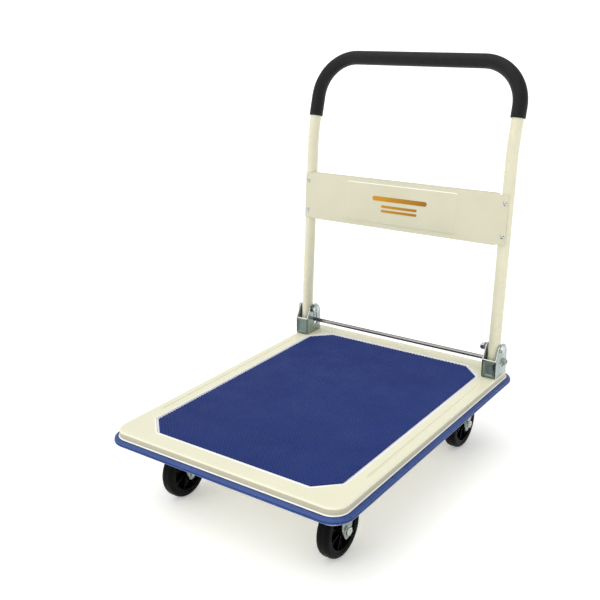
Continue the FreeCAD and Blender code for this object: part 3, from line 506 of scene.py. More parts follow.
def nest(bm: BMesh, rim: list[BMEdge],
         rings: Iterable[Sequence[Vector]]) -> list[BMFace]:
    """Fill in from a rim to a first ring, on through more rings, and across the last one.

    Args:
        bm: Mesh that holds the rim.
        rim: Outer loop, in the plane of the first ring.
        rings: Corners of each ring, from the outside in.

    Returns:
        The faces from the first ring to the last.
    """
    walls = []
    previous = None
    for points in rings:
        ring = outline(bm, points)
        if previous:
            walls += bmesh.ops.bridge_loops(bm, edges=previous + ring)["faces"]
        else:
            corner = rim[0].verts[0].co
            normal = (rim[0].verts[1].co - corner).cross(ring[0].verts[0].co - corner).normalized()
            bmesh.ops.triangle_fill(bm, edges=rim + ring, use_beauty=True, use_dissolve=False, normal=normal)
        previous = ring
    bmesh.ops.edgeloop_fill(bm, edges=previous)
    return walls


def face_towards(bm: BMesh, way: Vector) -> None:
    """Make a sheet's faces agree, with its largest one facing a given way."""
    bmesh.ops.recalc_face_normals(bm, faces=bm.faces)
    if max(bm.faces, key=lambda f: f.calc_area()).normal.dot(way) < 0:
        bmesh.ops.reverse_faces(bm, faces=bm.faces)


def soften(bm: BMesh, geom: Iterable, radius: float, steps: int, affect: str = "EDGES") -> None:
    """Round edges, or the corners of a flat face.

    Args:
        bm: Mesh that holds them.
        geom: Edges or vertices.
        radius: How far the rounding reaches.
        steps: Its steps.
        affect: EDGES or VERTICES.
    """
    bmesh.ops.bevel(bm, geom=list(geom), offset=radius, offset_type="OFFSET", segments=steps, profile=0.5,
                    affect=affect, material=-1, clamp_overlap=True)


def block(bm: BMesh, size: Vector, centre: Vector) -> list[BMVert]:
    """Add a box and give its vertices."""
    verts = bmesh.ops.create_cube(bm, size=1.0)["verts"]
    bmesh.ops.scale(bm, verts=verts, vec=size)
    bmesh.ops.translate(bm, verts=verts, vec=centre)
    return verts


def to_mesh(name: str, bm: BMesh) -> bpy.types.Mesh:
    """Turn a work mesh to a named mesh, and free it."""
    mesh = bpy.data.meshes.new(name)
    bm.to_mesh(mesh)
    bm.free()
    return mesh


def merge(bm: BMesh, part: BMesh) -> None:
    """Add a part to a work mesh, and free the part."""
    scratch = to_mesh("scratch", part)
    bm.from_mesh(scratch)
    bpy.data.meshes.remove(scratch)


def shade(bm: BMesh, sharp: float) -> None:
    """Smooth the faces, and keep edges sharp that turn more than this many degrees."""
    for face in bm.faces:
        face.smooth = True
    for edge in bm.edges:
        edge.smooth = len(edge.link_faces) == 2 and edge.calc_face_angle(math.pi) < math.radians(sharp)


def add_object(name: str, data: bpy.types.ID) -> bpy.types.Object:
    """Add an object to the scene."""
    obj = bpy.data.objects.new(name, data)
    bpy.context.scene.collection.objects.link(obj)
    return obj


def open_edges(bm: BMesh) -> list[BMEdge]:
    """Edges on the rim of an open mesh."""
    return [e for e in bm.edges if len(e.link_faces) == 1]


class Sweep:
    """A section carried along straight runs and arcs."""

    def __init__(self, bm: BMesh, section: list[BMEdge]) -> None:
        """Start from a section.

        Args:
            bm: Mesh that holds it.
            section: Its edges.
        """
        self.bm = bm
        self.start = section
        self.front = section

    @classmethod
    def round(cls, bm: BMesh, centre: Vector, direction: Vector, radius: float,
              segments: int = 32) -> Sweep:
        """Start from a circle.

        Args:
            bm: Mesh to add to.
            centre: Its centre.
            direction: Way that the sweep sets off.
            radius: Its radius.
            segments: Its sides.

        Returns:
            The sweep.
        """
        matrix = Matrix.Translation(centre) @ direction.to_track_quat("Z", "Y").to_matrix().to_4x4()
        made = bmesh.ops.create_circle(bm, cap_ends=False, radius=radius, segments=segments, matrix=matrix)
        ring = set(made["verts"])
        return cls(bm, [e for e in bm.edges if set(e.verts) <= ring])

    def run(self, vector: Vector, cuts: int = 1) -> Sweep:
        """Carry the section straight on.

        Args:
            vector: How far, and which way.
            cuts: Number of equal lengths.

        Returns:
            This sweep.
        """
        for _ in range(cuts):
            made = bmesh.ops.extrude_edge_only(self.bm, edges=self.front)["geom"]
            verts = set(verts_of(made))
            bmesh.ops.translate(self.bm, verts=list(verts), vec=vector / cuts)
            self.front = [e for e in edges_of(made) if set(e.verts) <= verts]
        return self

    def turn(self, centre: Vector, axis: Vector, degrees: float, steps: int, lift: Vector = Vector()) -> Sweep:
        """Carry the section round an arc or a helix.

        Args:
            centre: Point on the axis.
            axis: Its direction.
            degrees: Angle, right-handed about the axis.
            steps: Number of steps.
            lift: Total shift along the way.

        Returns:
            This sweep.
        """
        ring = list({v for e in self.front for v in e.verts})
        made = bmesh.ops.spin(self.bm, geom=ring + self.front, cent=centre, axis=axis, dvec=lift / steps,
                              angle=math.radians(degrees), steps=steps, use_merge=False, use_duplicate=False)
        self.front = edges_of(made["geom_last"])
        return self

    def swell(self, factor: float, centre: Vector) -> Sweep:
        """Grow or shrink the front section about a point.

        Args:
            factor: Size factor.
            centre: Point that stays.

        Returns:
            This sweep.
        """
        ring = list({v for e in self.front for v in e.verts})
        bmesh.ops.scale(self.bm, verts=ring, vec=Vector((factor,) * 3), space=Matrix.Translation(-centre))
        return self

    def cap(self) -> None:
        """Close both ends."""
        for rim in (self.start, self.front):
            bmesh.ops.edgeloop_fill(self.bm, edges=rim)


def round_rectangle(bm: BMesh, profile: Sequence[tuple[float, float]], half_x: float, half_y: float,
                    corner: float, centre: Vector, steps: int = 14, closed: bool = False) -> None:
    """Carry a profile round a rectangle with rounded corners.

    Args:
        bm: Mesh to add to.
        profile: Points as (outward from the rectangle, height).
        half_x: Half its width.
        half_y: Half its length.
        corner: Its corner radius.
        centre: Its centre; the height is not used.
        steps: Steps in each corner.
        closed: Whether the profile is a closed line.
    """
    reach_x = half_x - corner
    reach_y = half_y - corner
    points = [Vector((centre.x + half_x + d, centre.y - reach_y, z)) for d, z in profile]
    sweep = Sweep(bm, outline(bm, points, closed))
    for sx, sy, vector in ((1, 1, Vector((0, 2 * reach_y, 0))), (-1, 1, Vector((-2 * reach_x, 0, 0))),
                           (-1, -1, Vector((0, -2 * reach_y, 0))), (1, -1, Vector((2 * reach_x, 0, 0)))):
        pin = Vector((centre.x + sx * reach_x, centre.y + sy * reach_y, 0))
        sweep.run(vector).turn(pin, Z_AXIS, 90, steps)
    bmesh.ops.remove_doubles(bm, verts=bm.verts, dist=0.01)


def octagon(half_x: float, half_y: float, chamfer: float, centre: Vector, z: float,
            grow: float) -> list[Vector]:
    """Corners of a rectangle with chamfered corners, grown evenly by a margin."""
    hx = half_x + grow
    hy = half_y + grow
    cut = chamfer + grow * (2 - math.sqrt(2))
    corners = ((-hx, -hy + cut), (-hx + cut, -hy), (hx - cut, -hy), (hx, -hy + cut), (hx, hy - cut),
               (hx - cut, hy), (-hx + cut, hy), (-hx, hy - cut))
    return [Vector((centre.x + x, centre.y + y, z)) for x, y in corners]


def rounded_ring(centre: Vector, half_x: float, half_z: float, radius: float, steps: int) -> list[Vector]:
    """Points of an upright rectangle with rounded corners.

    Args:
        centre: Its centre.
        half_x: Half its width.
        half_z: Half its height.
        radius: Its corner radius.
        steps: Steps in each corner.

    Returns:
        The points in order.
    """
    points = []
    for sx, sz, start in ((1, 1, 0), (-1, 1, 90), (-1, -1, 180), (1, -1, 270)):
        for i in range(steps + 1):
            turn = math.radians(start + 90 * i / steps)
            points.append(Vector((centre.x + sx * (half_x - radius) + radius * math.cos(turn), centre.y,
                                  centre.z + sz * (half_z - radius) + radius * math.sin(turn))))
    return points


def rounded_plate(bm: BMesh, corners: Sequence[tuple[Vector, float]], thickness: Vector,
                  rim: float, steps: int = 8) -> None:
    """A sheet piece: an outline with rounded corners, a thickness and softened rims.

    Args:
        bm: Mesh to add to.
        corners: Corner points with their radii.
        thickness: Direction and depth of the sheet.
        rim: Radius of its rims.
        steps: Steps in each corner.
    """
    plate = bmesh.new()
    face = filled(plate, [p for p, _ in corners])
    made = bmesh.ops.extrude_face_region(plate, geom=[face], use_keep_orig=True)["geom"]
    bmesh.ops.translate(plate, verts=verts_of(made), vec=thickness)
    side_edges = {}
    for vert in face.verts:
        for edge in vert.link_edges:
            if (edge.other_vert(vert).co - vert.co - thickness).length < TOUCH:
                side_edges[tuple(round(c, 4) for c in vert.co)] = edge
    for index, (point, radius) in enumerate(corners):
        if radius <= 0:
            continue
        back = (corners[index - 1][0] - point).normalized()
        ahead = (corners[(index + 1) % len(corners)][0] - point).normalized()
        reach = radius / math.tan(back.angle(ahead) / 2)
        soften(plate, [side_edges[tuple(round(c, 4) for c in point)]], reach, steps)
    plate.normal_update()
    normal = thickness.normalized()
    rims = {e for f in plate.faces if abs(f.normal.dot(normal)) > 0.99 for e in f.edges}
    bmesh.ops.recalc_face_normals(plate, faces=plate.faces)
    soften(plate, rims, rim, 2)
    merge(bm, plate)


def rod_along(bm: BMesh, start: Vector, end: Vector, radius: float, segments: int = 24,
              rim: float = 0.4) -> None:
    """Round bar with softened ends.

    Args:
        bm: Mesh to add to.
        start: One end.
        end: Other end.
        radius: Its radius.
        segments: Its sides.
        rim: Radius of its end rims.
    """
    axis = end - start
    matrix = Matrix.Translation((start + end) / 2) @ axis.to_track_quat("Z", "Y").to_matrix().to_4x4()
    made = bmesh.ops.create_cone(bm, cap_ends=True, segments=segments, radius1=radius, radius2=radius,
                                 depth=axis.length, matrix=matrix)
    edges = {e for v in made["verts"] for e in v.link_edges}
    soften(bm, [e for e in edges if abs((e.verts[0].co - e.verts[1].co).dot(axis)) < TOUCH], rim, 3)


def lathe(bm: BMesh, points: Sequence[Vector], centre: Vector, axis: Vector, steps: int) -> None:
    """Turn a closed section about an axis.

    Args:
        bm: Mesh to add to.
        points: Corners of the section.
        centre: Point on the axis.
        axis: Its direction.
        steps: Sides of the turned shape.
    """
    edges = outline(bm, points)
    ring = list({v for e in edges for v in e.verts})
    bmesh.ops.spin(bm, geom=ring + edges, cent=centre, axis=axis, dvec=Vector(), angle=math.tau, steps=steps,
                   use_merge=True, use_duplicate=False)


def hex_head(bm: BMesh, seat: Vector, direction: Vector, across: float, height: float,
             dome: float = 0.0, turn: float = 0.0) -> None:
    """Hexagon head or nut with a chamfered crown and a thread end or dome in it.

    Args:
        bm: Mesh to add to.
        seat: Centre of the seat.
        direction: Way that the head stands.
        across: Size across its flats.
        height: Its height.
        dome: Height of the thread end that stands out of it.
        turn: Turn about its axis, in degrees.
    """
    facing = direction.to_track_quat("Z", "Y").to_matrix().to_4x4()
    facing = facing @ Matrix.Rotation(math.radians(turn), 4, "Z")
    radius = across / math.sqrt(3)
    made = bmesh.ops.create_cone(bm, cap_ends=True, segments=6, radius1=radius, radius2=radius, depth=height,
                                 matrix=Matrix.Translation(seat + direction * height / 2) @ facing)
    top = [f for f in {f for v in made["verts"] for f in v.link_faces}
           if (f.calc_center_median() - seat).dot(direction) > height * 0.9]
    soften(bm, top[0].edges, height * 0.16, 2)
    if dome > 0:
        rod_along(bm, seat + direction * (height - 0.5), seat + direction * (height + dome), across * 0.29, 20,
                  0.8)


def washer(bm: BMesh, seat: Vector, direction: Vector, radius: float, height: float) -> None:
    """Flat washer with soft rims."""
    rod_along(bm, seat, seat + direction * height, radius, 32, min(0.35, height * 0.4))


def make_piece(name: str, bm: BMesh, finish: Finish, body: str | None,
               replaces: Sequence[str], sharp: float, more: Sequence[Finish] = (),
               recalc: bool = True) -> bpy.types.Object:
    """Turn a mesh built in millimetres into a finished piece.

    Args:
        name: Piece name.
        bm: The mesh; it is freed.
        finish: Its finish.
        body: Body it rides on, or None for a piece that is left on no body.
        replaces: Frame nodes it stands for.
        sharp: Edges that turn more than this many degrees stay sharp.
        more: Finishes of the faces whose material index is 1 and up.
        recalc: Whether the faces are turned outwards here.

    Returns:
        The new object.
    """
    bmesh.ops.remove_doubles(bm, verts=bm.verts, dist=WELD)
    if recalc:
        bmesh.ops.recalc_face_normals(bm, faces=bm.faces)
    bmesh.ops.scale(bm, vec=Vector((MM,) * 3), verts=bm.verts)
    shade(bm, sharp)
    mesh = to_mesh(name, bm)
    for each in (finish, *more):
        mesh.materials.append(each.build())
    obj = add_object(name, mesh)
    if body:
        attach(obj, body)
    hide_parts(*replaces)
    log.info("%s: %d faces", name, len(mesh.polygons))
    return obj


def carve(obj: bpy.types.Object, cutters: Callable[[BMesh], None], sharp: float) -> None:
    """Cut shapes out of a piece and keep the result as its mesh.

    Args:
        obj: Piece to cut.
        cutters: Fills a mesh, in millimetres, with the closed shapes to remove.
        sharp: Edges that turn more than this many degrees stay sharp.
    """
    bm = bmesh.new()
    cutters(bm)
    bmesh.ops.recalc_face_normals(bm, faces=bm.faces)
    bmesh.ops.scale(bm, vec=Vector((MM,) * 3), verts=bm.verts)
    tool = add_object("cutter", to_mesh("cutter", bm))
    modifier = obj.modifiers.new("carve", "BOOLEAN")
    modifier.operation = "DIFFERENCE"
    modifier.solver = "EXACT"
    modifier.object = tool
    graph = bpy.context.evaluated_depsgraph_get()
    result = bpy.data.meshes.new_from_object(obj.evaluated_get(graph), preserve_all_data_layers=True,
                                             depsgraph=graph)
    obj.modifiers.clear()
    bpy.data.objects.remove(tool)
    clean = bmesh.new()
    clean.from_mesh(result)
    bmesh.ops.remove_doubles(clean, verts=clean.verts, dist=1e-6)
    for face in clean.faces:
        face.material_index = min(face.material_index, len(obj.data.materials) - 1)
    shade(clean, sharp)
    clean.to_mesh(obj.data)
    clean.free()
    bpy.data.meshes.remove(result)


@dataclass
class Assembly:
    frame: dict

    def dress(self, finish: Finish, *nodes: str) -> None:
        """Give frame nodes a finish.

        Args:
            finish: Their finish.
            nodes: Node names.
        """
        for node in nodes:
            for material_slot in self.frame["nodes"][node].material_slots:
                material_slot.material = finish.build()

    def joint(self, name: str) -> dict:
        """A joint of the frame, by its name."""
        return next(j for j in self.frame["joints"] if j["name"] == name)

    @property
    def pivot(self) -> Vector:
        """Point of the folding axis, midway between the legs."""
        return Vector(self.joint("handle_fold")["pos_m"]) / MM


# ---------------------------------------------------------------- deck
@dataclass
class Deck(Assembly):
    """Pressed pan with a mat recess, its mat and its bumper.

    The bead and the wall are (outward, share of the rise or depth). The strip's foot and seat are measured out
    from the pan, and its nose and brow in from its tip. Foot and nose go up from its bottom, and brow and seat
    down from its top.
    """

    sheet: float = 1.5
    edge_radius: float = 3.2
    corner: float = 27.2
    mat_chamfer: float = 35.2
    recess_margin: float = 3.6
    recess_depth: float = 1.6
    bead_rise: float = 0.9
    flare: float = 1.5
    corner_drop: float = 4.5
    flare_shine: float = 1.3
    lip_shine: float = 5.6
    skin: float = 0.05
    bead_profile: Profile = ((3.4, 0.0), (2.9, 0.55), (2.2, 0.95), (1.4, 1.0), (0.7, 0.6))
    wall_profile: Profile = ((0.2, 0.8), (-0.4, 1.0))
    floor_inset: float = 1.5
    strip_foot: Profile = ((0.15, 0.6), (2.2, 0.0))
    strip_nose: Profile = ((3.6, 0.0), (1.7, 0.4), (0.4, 1.4), (0.0, 2.7), (0.25, 3.7), (1.7, 4.2),
                           (1.75, 4.9), (0.55, 5.4), (0.45, 6.3), (1.1, 7.4))
    strip_brow: Profile = ((2.4, 1.3), (3.3, 1.2), (3.8, 0.3), (4.8, 0.0))
    strip_seat: Profile = ((3.6, 0.0), (2.2, 1.0), (0.15, 1.1))
    rib_profile: Profile = ((0.0, 0.0), (0.3, 0.0), (0.42, 0.85), (0.5, 1.0), (0.78, 1.0), (0.88, 0.85))
    rib_pitch: float = 5.0
    rib_rise: float = 0.8
    groove_half: float = 2.4
    groove_depth: float = 1.3
    side_groove_inset: float = 26.2
    side_groove_trim: float = 122.0
    rear_groove_insets: tuple[float, float] = (20.0, 44.0)
    rear_groove_trim: float = 62.0
    steps: int = 14
    pan_low: Vector = field(default_factory=lambda: box_mm("deck_pan")[0])
    pan_high: Vector = field(default_factory=lambda: box_mm("deck_pan")[1])

    @property
    def centre(self) -> Vector:
        """Centre of the pan, seen from above."""
        return (self.pan_low + self.pan_high) / 2

    @property
    def top(self) -> float:
        """Height of the deck's top face."""
        return self.pan_high.z

    def arc(self, centre: tuple[float, float], radius: float, start: float, end: float,
            steps: int) -> list[tuple[float, float]]:
        """Points of an arc in a profile.

        Args:
            centre: Its centre as (outward, height).
            radius: Its radius.
            start: First angle in degrees.
            end: Last angle in degrees.
            steps: Number of steps.

        Returns:
            The points.
        """
        turns = [math.radians(start + (end - start) * i / steps) for i in range(steps + 1)]
        return [(centre[0] + radius * math.cos(a), centre[1] + radius * math.sin(a)) for a in turns]

    def build_pan(self) -> None:
        """Skirt, flange, rounded edge, border, bead, recess and grooves."""
        bm = bmesh.new()
        top = self.top
        half = (self.pan_high - self.pan_low) / 2
        radius = self.edge_radius
        low = self.pan_low.z
        flange = box_mm("deck_bumper")[1].z
        profile = [(self.skin, low), (self.skin, flange - 0.9), (self.flare, flange + self.skin),
                   (self.flare + 0.2, flange + 0.5)]
        profile += self.arc((self.flare + 0.3, flange + 1.0 + self.flare), self.flare + 0.3, 265, 180, 5)
        profile += self.arc((-radius, top - radius), radius, 0, 90, 7)
        profile += [(-radius - 6, top), (-self.corner + 4, top)]
        round_rectangle(bm, profile, half.x, half.y, self.corner, self.centre, self.steps)
        for vert in bm.verts:
            straight = (abs(vert.co.x - self.centre.x) < half.x - self.corner + 0.1
                        or abs(vert.co.y - self.centre.y) < half.y - self.corner + 0.1)
            if vert.co.z < low + 0.1 and straight:
                vert.co.z += self.corner_drop
        mat_centre, mat_half = middle_mm("deck_mat"), half_mm("deck_mat")
        rim = [e for e in open_edges(bm) if all(abs(v.co.z - top) < 1e-3 for v in e.verts)]
        margin = self.recess_margin
        rings = [(margin + out, self.bead_rise * share) for out, share in self.bead_profile]
        rings += [(margin + out, -self.recess_depth * share) for out, share in self.wall_profile]
        rings.append((-self.floor_inset, -self.recess_depth))
        corners = [octagon(mat_half.x, mat_half.y, self.mat_chamfer, mat_centre, top + lift, grow)
                   for grow, lift in rings]
        # Painted highlight: the bead, the recess wall and the recess floor round the mat take the white,
        # glossier coat.
        for face in nest(bm, rim, corners):
            face.material_index = 1
        # Painted highlight: the flare at the flange and the lip at the bottom take the white, glossier coat
        # too.
        for face in bm.faces:
            height = face.calc_center_median().z
            if flange - 1.0 < height < flange + self.flare_shine or height < low + self.lip_shine:
                face.material_index = 1
        face_towards(bm, Z_AXIS)
        pan = make_piece("deck_pan_pressed", bm, CREAM, Body.DECK.value, ["deck_pan"], 34,
                         [CREAM_PAINTED_HIGHLIGHT], False)
        wall = pan.modifiers.new("sheet", "SOLIDIFY")
        wall.thickness = self.sheet * MM
        wall.offset = -1
        carve(pan, self.groove_cutters, 34)

    def groove_cutters(self, bm: BMesh) -> None:
        """Round-ended cutters for the stiffening grooves.

        Args:
            bm: Mesh to fill.
        """
        centre, half = middle_mm("deck_bumper"), half_mm("deck_bumper")
        lines = []
        reach = half.y - self.side_groove_trim
        for side in Side:
            x = centre.x + side.sign * (half.x - self.side_groove_inset)
            lines.append((Vector((x, centre.y - reach, self.top)), Vector((x, centre.y + reach, self.top))))
        across = half.x - self.rear_groove_trim
        for inset in self.rear_groove_insets:
            y = centre.y + half.y - inset
            lines.append((Vector((-across, y, self.top)), Vector((across, y, self.top))))
        for start, end in lines:
            run = end - start
            made = bmesh.ops.create_uvsphere(bm, u_segments=16, v_segments=10, radius=self.groove_half,
                                             matrix=Matrix.Translation(start))["verts"]
            bmesh.ops.scale(bm, verts=made, vec=Vector((1, 1, self.groove_depth / self.groove_half)),
                            space=Matrix.Translation(-start))
            far = [v for v in made if (v.co - start).dot(run) > TOUCH]
            bmesh.ops.translate(bm, verts=far, vec=run)

    def build_bumper(self) -> None:
        """Extruded strip: rounded nose with a shallow groove, and a darker return under it."""
        bm = bmesh.new()
        low, high = box_mm("deck_bumper")
        half = (self.pan_high - self.pan_low) / 2
        tip = (high.x - low.x) / 2 - half.x
        profile = [(out, low.z + up) for out, up in self.strip_foot]
        profile += [(tip - back, low.z + up) for back, up in self.strip_nose]
        profile += [(tip - back, high.z - down) for back, down in self.strip_brow]
        profile += [(out, high.z - down) for out, down in self.strip_seat]
        round_rectangle(bm, profile, half.x, half.y, self.corner, self.centre, self.steps + 4, True)
        make_piece("bumper_strip", bm, PVC_BLUE, Body.DECK.value, ["deck_bumper"], 50)

    def build_mat(self) -> None:
        """Ribbed mat with chamfered corners."""
        bm = bmesh.new()
        low, high = box_mm("deck_mat")
        centre, half = middle_mm("deck_mat"), half_mm("deck_mat")
        reach = (half.x + half.y) / math.sqrt(2)
        count = math.ceil(2 * reach / self.rib_pitch)
        points = []
        for i in range(count):
            for share, rise in self.rib_profile:
                points.append(Vector((-reach + (i + share) * self.rib_pitch, -reach,
                                      high.z - self.rib_rise * (1 - rise))))
        Sweep(bm, outline(bm, points, False)).run(Vector((0, 2 * reach, 0)))
        turn = Matrix.Translation((centre.x, centre.y, 0)) @ Matrix.Rotation(math.radians(45), 4, "Z")
        bmesh.ops.transform(bm, matrix=turn, verts=bm.verts)
        cut = self.mat_chamfer
        for sx, sy in ((-1, 0), (1, 0), (0, -1), (0, 1), (-1, -1), (-1, 1), (1, -1), (1, 1)):
            back = cut / 2 if sx and sy else 0.0
            bmesh.ops.bisect_plane(bm, geom=bm.verts[:] + bm.edges[:] + bm.faces[:], dist=TOUCH,
                                   plane_co=centre + Vector((sx * (half.x - back), sy * (half.y - back), 0)),
                                   plane_no=Vector((sx, sy, 0)).normalized(), clear_outer=True)
        rim = open_edges(bm)
        made = bmesh.ops.extrude_edge_only(bm, edges=rim)["geom"]
        skirt = set(verts_of(made))
        for vert in skirt:
            vert.co.z = low.z + self.skin
        base = [e for e in edges_of(made) if set(e.verts) <= skirt]
        bmesh.ops.edgeloop_fill(bm, edges=base)
        make_piece("ribbed_mat", bm, MAT_BLUE, Body.DECK.value, ["deck_mat"], 40)

    def build(self) -> None:
        """Make the whole deck."""
        self.build_pan()
        self.build_bumper()
        self.build_mat()
        self.dress(UNDERCOAT, "front_channel", "rear_channel", "side_rail_l", "side_rail_r")
        self.dress(ZINC_BRIGHT, "caster_bolts", "caster_nuts", "bracket_nuts", "bracket_bolts")


# ---------------------------------------------------------------- handle
@dataclass
class Handle(Assembly):
    """Bent tube with a foam grip and a cross panel."""

    tube_r: float = 11.3
    tube_wall: float = 1.4
    stub: float = 25.4
    lean_deg: float = 3.7
    bend_deg: float = 11.4
    bend_height: float = 375.5
    bend_radius: float = 320.0
    upper_length: float = 155.4
    corner: float = 79.0
    grip_wall: float = 2.3
    grip_gap: float = 0.05
    grip_rolls: Profile = ((0.0, 0.0), (0.01, 0.55), (0.51, 0.86), (1.81, 1.0))
    grip_left: float = 35.6
    grip_right: float = 55.8
    panel_low: float = 200.0
    panel_rise: float = 96.6
    panel_sheet: float = 1.2
    panel_flange: float = 9.0
    panel_overhang: float = 6.2
    tab_step: float = 1.8
    panel_corners: tuple[float, float, float] = (2.5, 0.8, 1.2)
    field_slope: Profile = ((1.4, 0.0), (0.9, 0.1), (-0.2, 0.9), (-0.7, 1.0))
    field_half_x: float = 121.0
    field_half_z: float = 38.5
    field_raise: float = 1.0
    field_corner: float = 7.0
    screw_inset: float = 17.6
    screw_r: float = 4.2
    screw_cross: tuple[float, float] = (4.6, 0.9)
    screw_cross_out: float = 2.05
    segments: int = 40

    @property
    def leg_x(self) -> float:
        """Distance of a leg from the cart's middle."""
        return half_mm("pivot_bushes").x - self.tube_r

    def upright(self) -> Matrix:
        """Matrix from the upright handle at the origin to its place."""
        return Matrix.Translation(self.pivot) @ Matrix.Rotation(math.radians(-self.lean_deg), 4, "X")

    def bend_dir(self) -> Vector:
        """Direction of the upper part, on the upright handle."""
        bend = math.radians(self.bend_deg)
        return Vector((0, math.sin(bend), math.cos(bend)))

    def upper(self, along: float, x: float) -> Vector:
        """Point of the upper part at a distance from the bend."""
        return Vector((x, 0, self.bend_height)) + self.bend_dir() * along

    def over_the_top(self, sweep: Sweep, start: float, end: float) -> None:
        """Carry a section up the left upper leg, across the bar and down the right one.

        Args:
            sweep: Sweep that stands at the left start.
            start: Distance from the bend to the left start.
            end: Distance from the bend to the right end.
        """
        way = self.bend_dir()
        level = self.upper_length - self.corner
        sweep.run(way * (level - start), 3)
        normal = X_AXIS.cross(way)
        sweep.turn(self.upper(level, -self.leg_x + self.corner), normal * -1, 90, 16)
        sweep.run(X_AXIS * 2 * (self.leg_x - self.corner), 6)
        sweep.turn(self.upper(level, self.leg_x - self.corner), normal * -1, 90, 16)
        sweep.run(way * (end - level), 3)

    def build_tube(self) -> None:
        """The bent tube, open at both feet."""
        bm = bmesh.new()
        reach = self.bend_radius * math.tan(math.radians(self.bend_deg) / 2)
        foot = Vector((-self.leg_x, 0, -self.stub))
        sweep = Sweep.round(bm, foot, Z_AXIS, self.tube_r, self.segments)
        sweep.run(Z_AXIS * (self.bend_height - reach + self.stub), 8)
        pin = Vector((0, self.bend_radius, self.bend_height - reach))
        sweep.turn(pin, X_AXIS, -self.bend_deg, 8)
        self.over_the_top(sweep, reach, reach)
        sweep.turn(pin, X_AXIS, self.bend_deg, 8)
        sweep.run(Z_AXIS * -(self.bend_height - reach + self.stub), 8)
        bmesh.ops.remove_doubles(bm, verts=bm.verts, dist=0.002)
        bmesh.ops.recalc_face_normals(bm, faces=bm.faces)
        bmesh.ops.solidify(bm, geom=bm.faces[:], thickness=self.tube_wall)
        bmesh.ops.transform(bm, matrix=self.upright(), verts=bm.verts)
        make_piece("handle_tube_bent", bm, TUBE_CREAM, Body.HANDLE.value, ["handle_tube"], 50)

    def build_grip(self) -> None:
        """Foam sleeve whose ends roll in to the tube."""
        bm = bmesh.new()
        inner = self.tube_r + self.grip_gap
        left, right = ([(start + step, inner + self.grip_wall * share) for step, share in self.grip_rolls]
                       for start in (self.grip_left, self.grip_right))
        sweep = Sweep.round(bm, self.upper(self.grip_left, -self.leg_x), self.bend_dir(), inner, self.segments)
        self.roll(sweep, left, -self.leg_x)
        self.over_the_top(sweep, left[-1][0], right[-1][0])
        self.roll(sweep, right[::-1], self.leg_x)
        bmesh.ops.transform(bm, matrix=self.upright(), verts=bm.verts)
        grip = make_piece("foam_grip", bm, FOAM_BLACK, Body.HANDLE.value, ["handle_grip"], 70)

    def roll(self, sweep: Sweep, stations: Sequence[tuple[float, float]], x: float) -> None:
        """Carry the grip's section along a leg while it swells or shrinks.

        Args:
            sweep: Sweep that stands at the first station.
            stations: Distances from the bend with the radius at each.
            x: Place of the leg.
        """
        for (along, radius), (onward, wanted) in zip(stations, stations[1:]):
            sweep.run(self.bend_dir() * (onward - along))
            sweep.swell(wanted / radius, self.upper(onward, x))

    def build_panel(self) -> None:
        """Sheet panel with tabs, folded flanges and a raised field."""
        bm = bmesh.new()
        front = -self.tube_r - self.panel_sheet
        tab = self.leg_x + self.panel_overhang
        inner = self.leg_x - self.tube_r - 1.0
        half = self.panel_rise / 2
        mid = self.panel_low + half
        quarter = list(zip((tab, inner, inner), (self.tab_step, self.tab_step, 0.0), self.panel_corners))
        corners = []
        for sx, sz in ((-1, -1), (1, -1), (1, 1), (-1, 1)):
            for x, up, radius in quarter[::sx * sz]:
                corners.append((Vector((sx * x, front, mid + sz * (half - up))), radius))
        shell = bmesh.new()
        filled(shell, [point for point, _ in corners])
        for point, radius in corners:
            soften(shell, [min(shell.verts, key=lambda v: (v.co - point).length)], radius, 4, "VERTICES")
        face = max(shell.faces, key=lambda f: f.calc_area())
        rim = list(face.edges)
        bmesh.ops.delete(shell, geom=[face], context="FACES_ONLY")
        nest(shell, rim, [rounded_ring(Vector((0, front - self.field_raise * push, mid)),
                                       self.field_half_x + grow, self.field_half_z + grow,
                                       self.field_corner + grow, 6)
                          for grow, push in self.field_slope])
        face_towards(shell, Y_AXIS * -1)
        # Painted highlight: the raised field's upper slope takes the white, glossier coat.
        for face in shell.faces:
            upper = face.calc_center_median().z > mid + self.field_half_z - 2
            face.material_index = 1 if upper and face.normal.z > 0.25 else 0
        bmesh.ops.solidify(shell, geom=shell.faces[:], thickness=self.panel_sheet)
        merge(bm, shell)
        for sz in (-1, 1):
            height = mid + sz * (half - self.panel_sheet / 2)
            flange = block(bm, Vector((2 * (inner - 1.5), self.panel_flange - 0.4, self.panel_sheet)),
                           Vector((0, front + (0.4 + self.panel_flange) / 2, height)))
            soften(bm, {e for v in flange for e in v.link_edges}, 0.3, 2)
        bmesh.ops.transform(bm, matrix=self.upright(), verts=bm.verts)
        make_piece("cross_panel", bm, PANEL_CREAM, Body.HANDLE.value, ["handle_panel"], 30,
                   [CREAM_PAINTED_HIGHLIGHT])

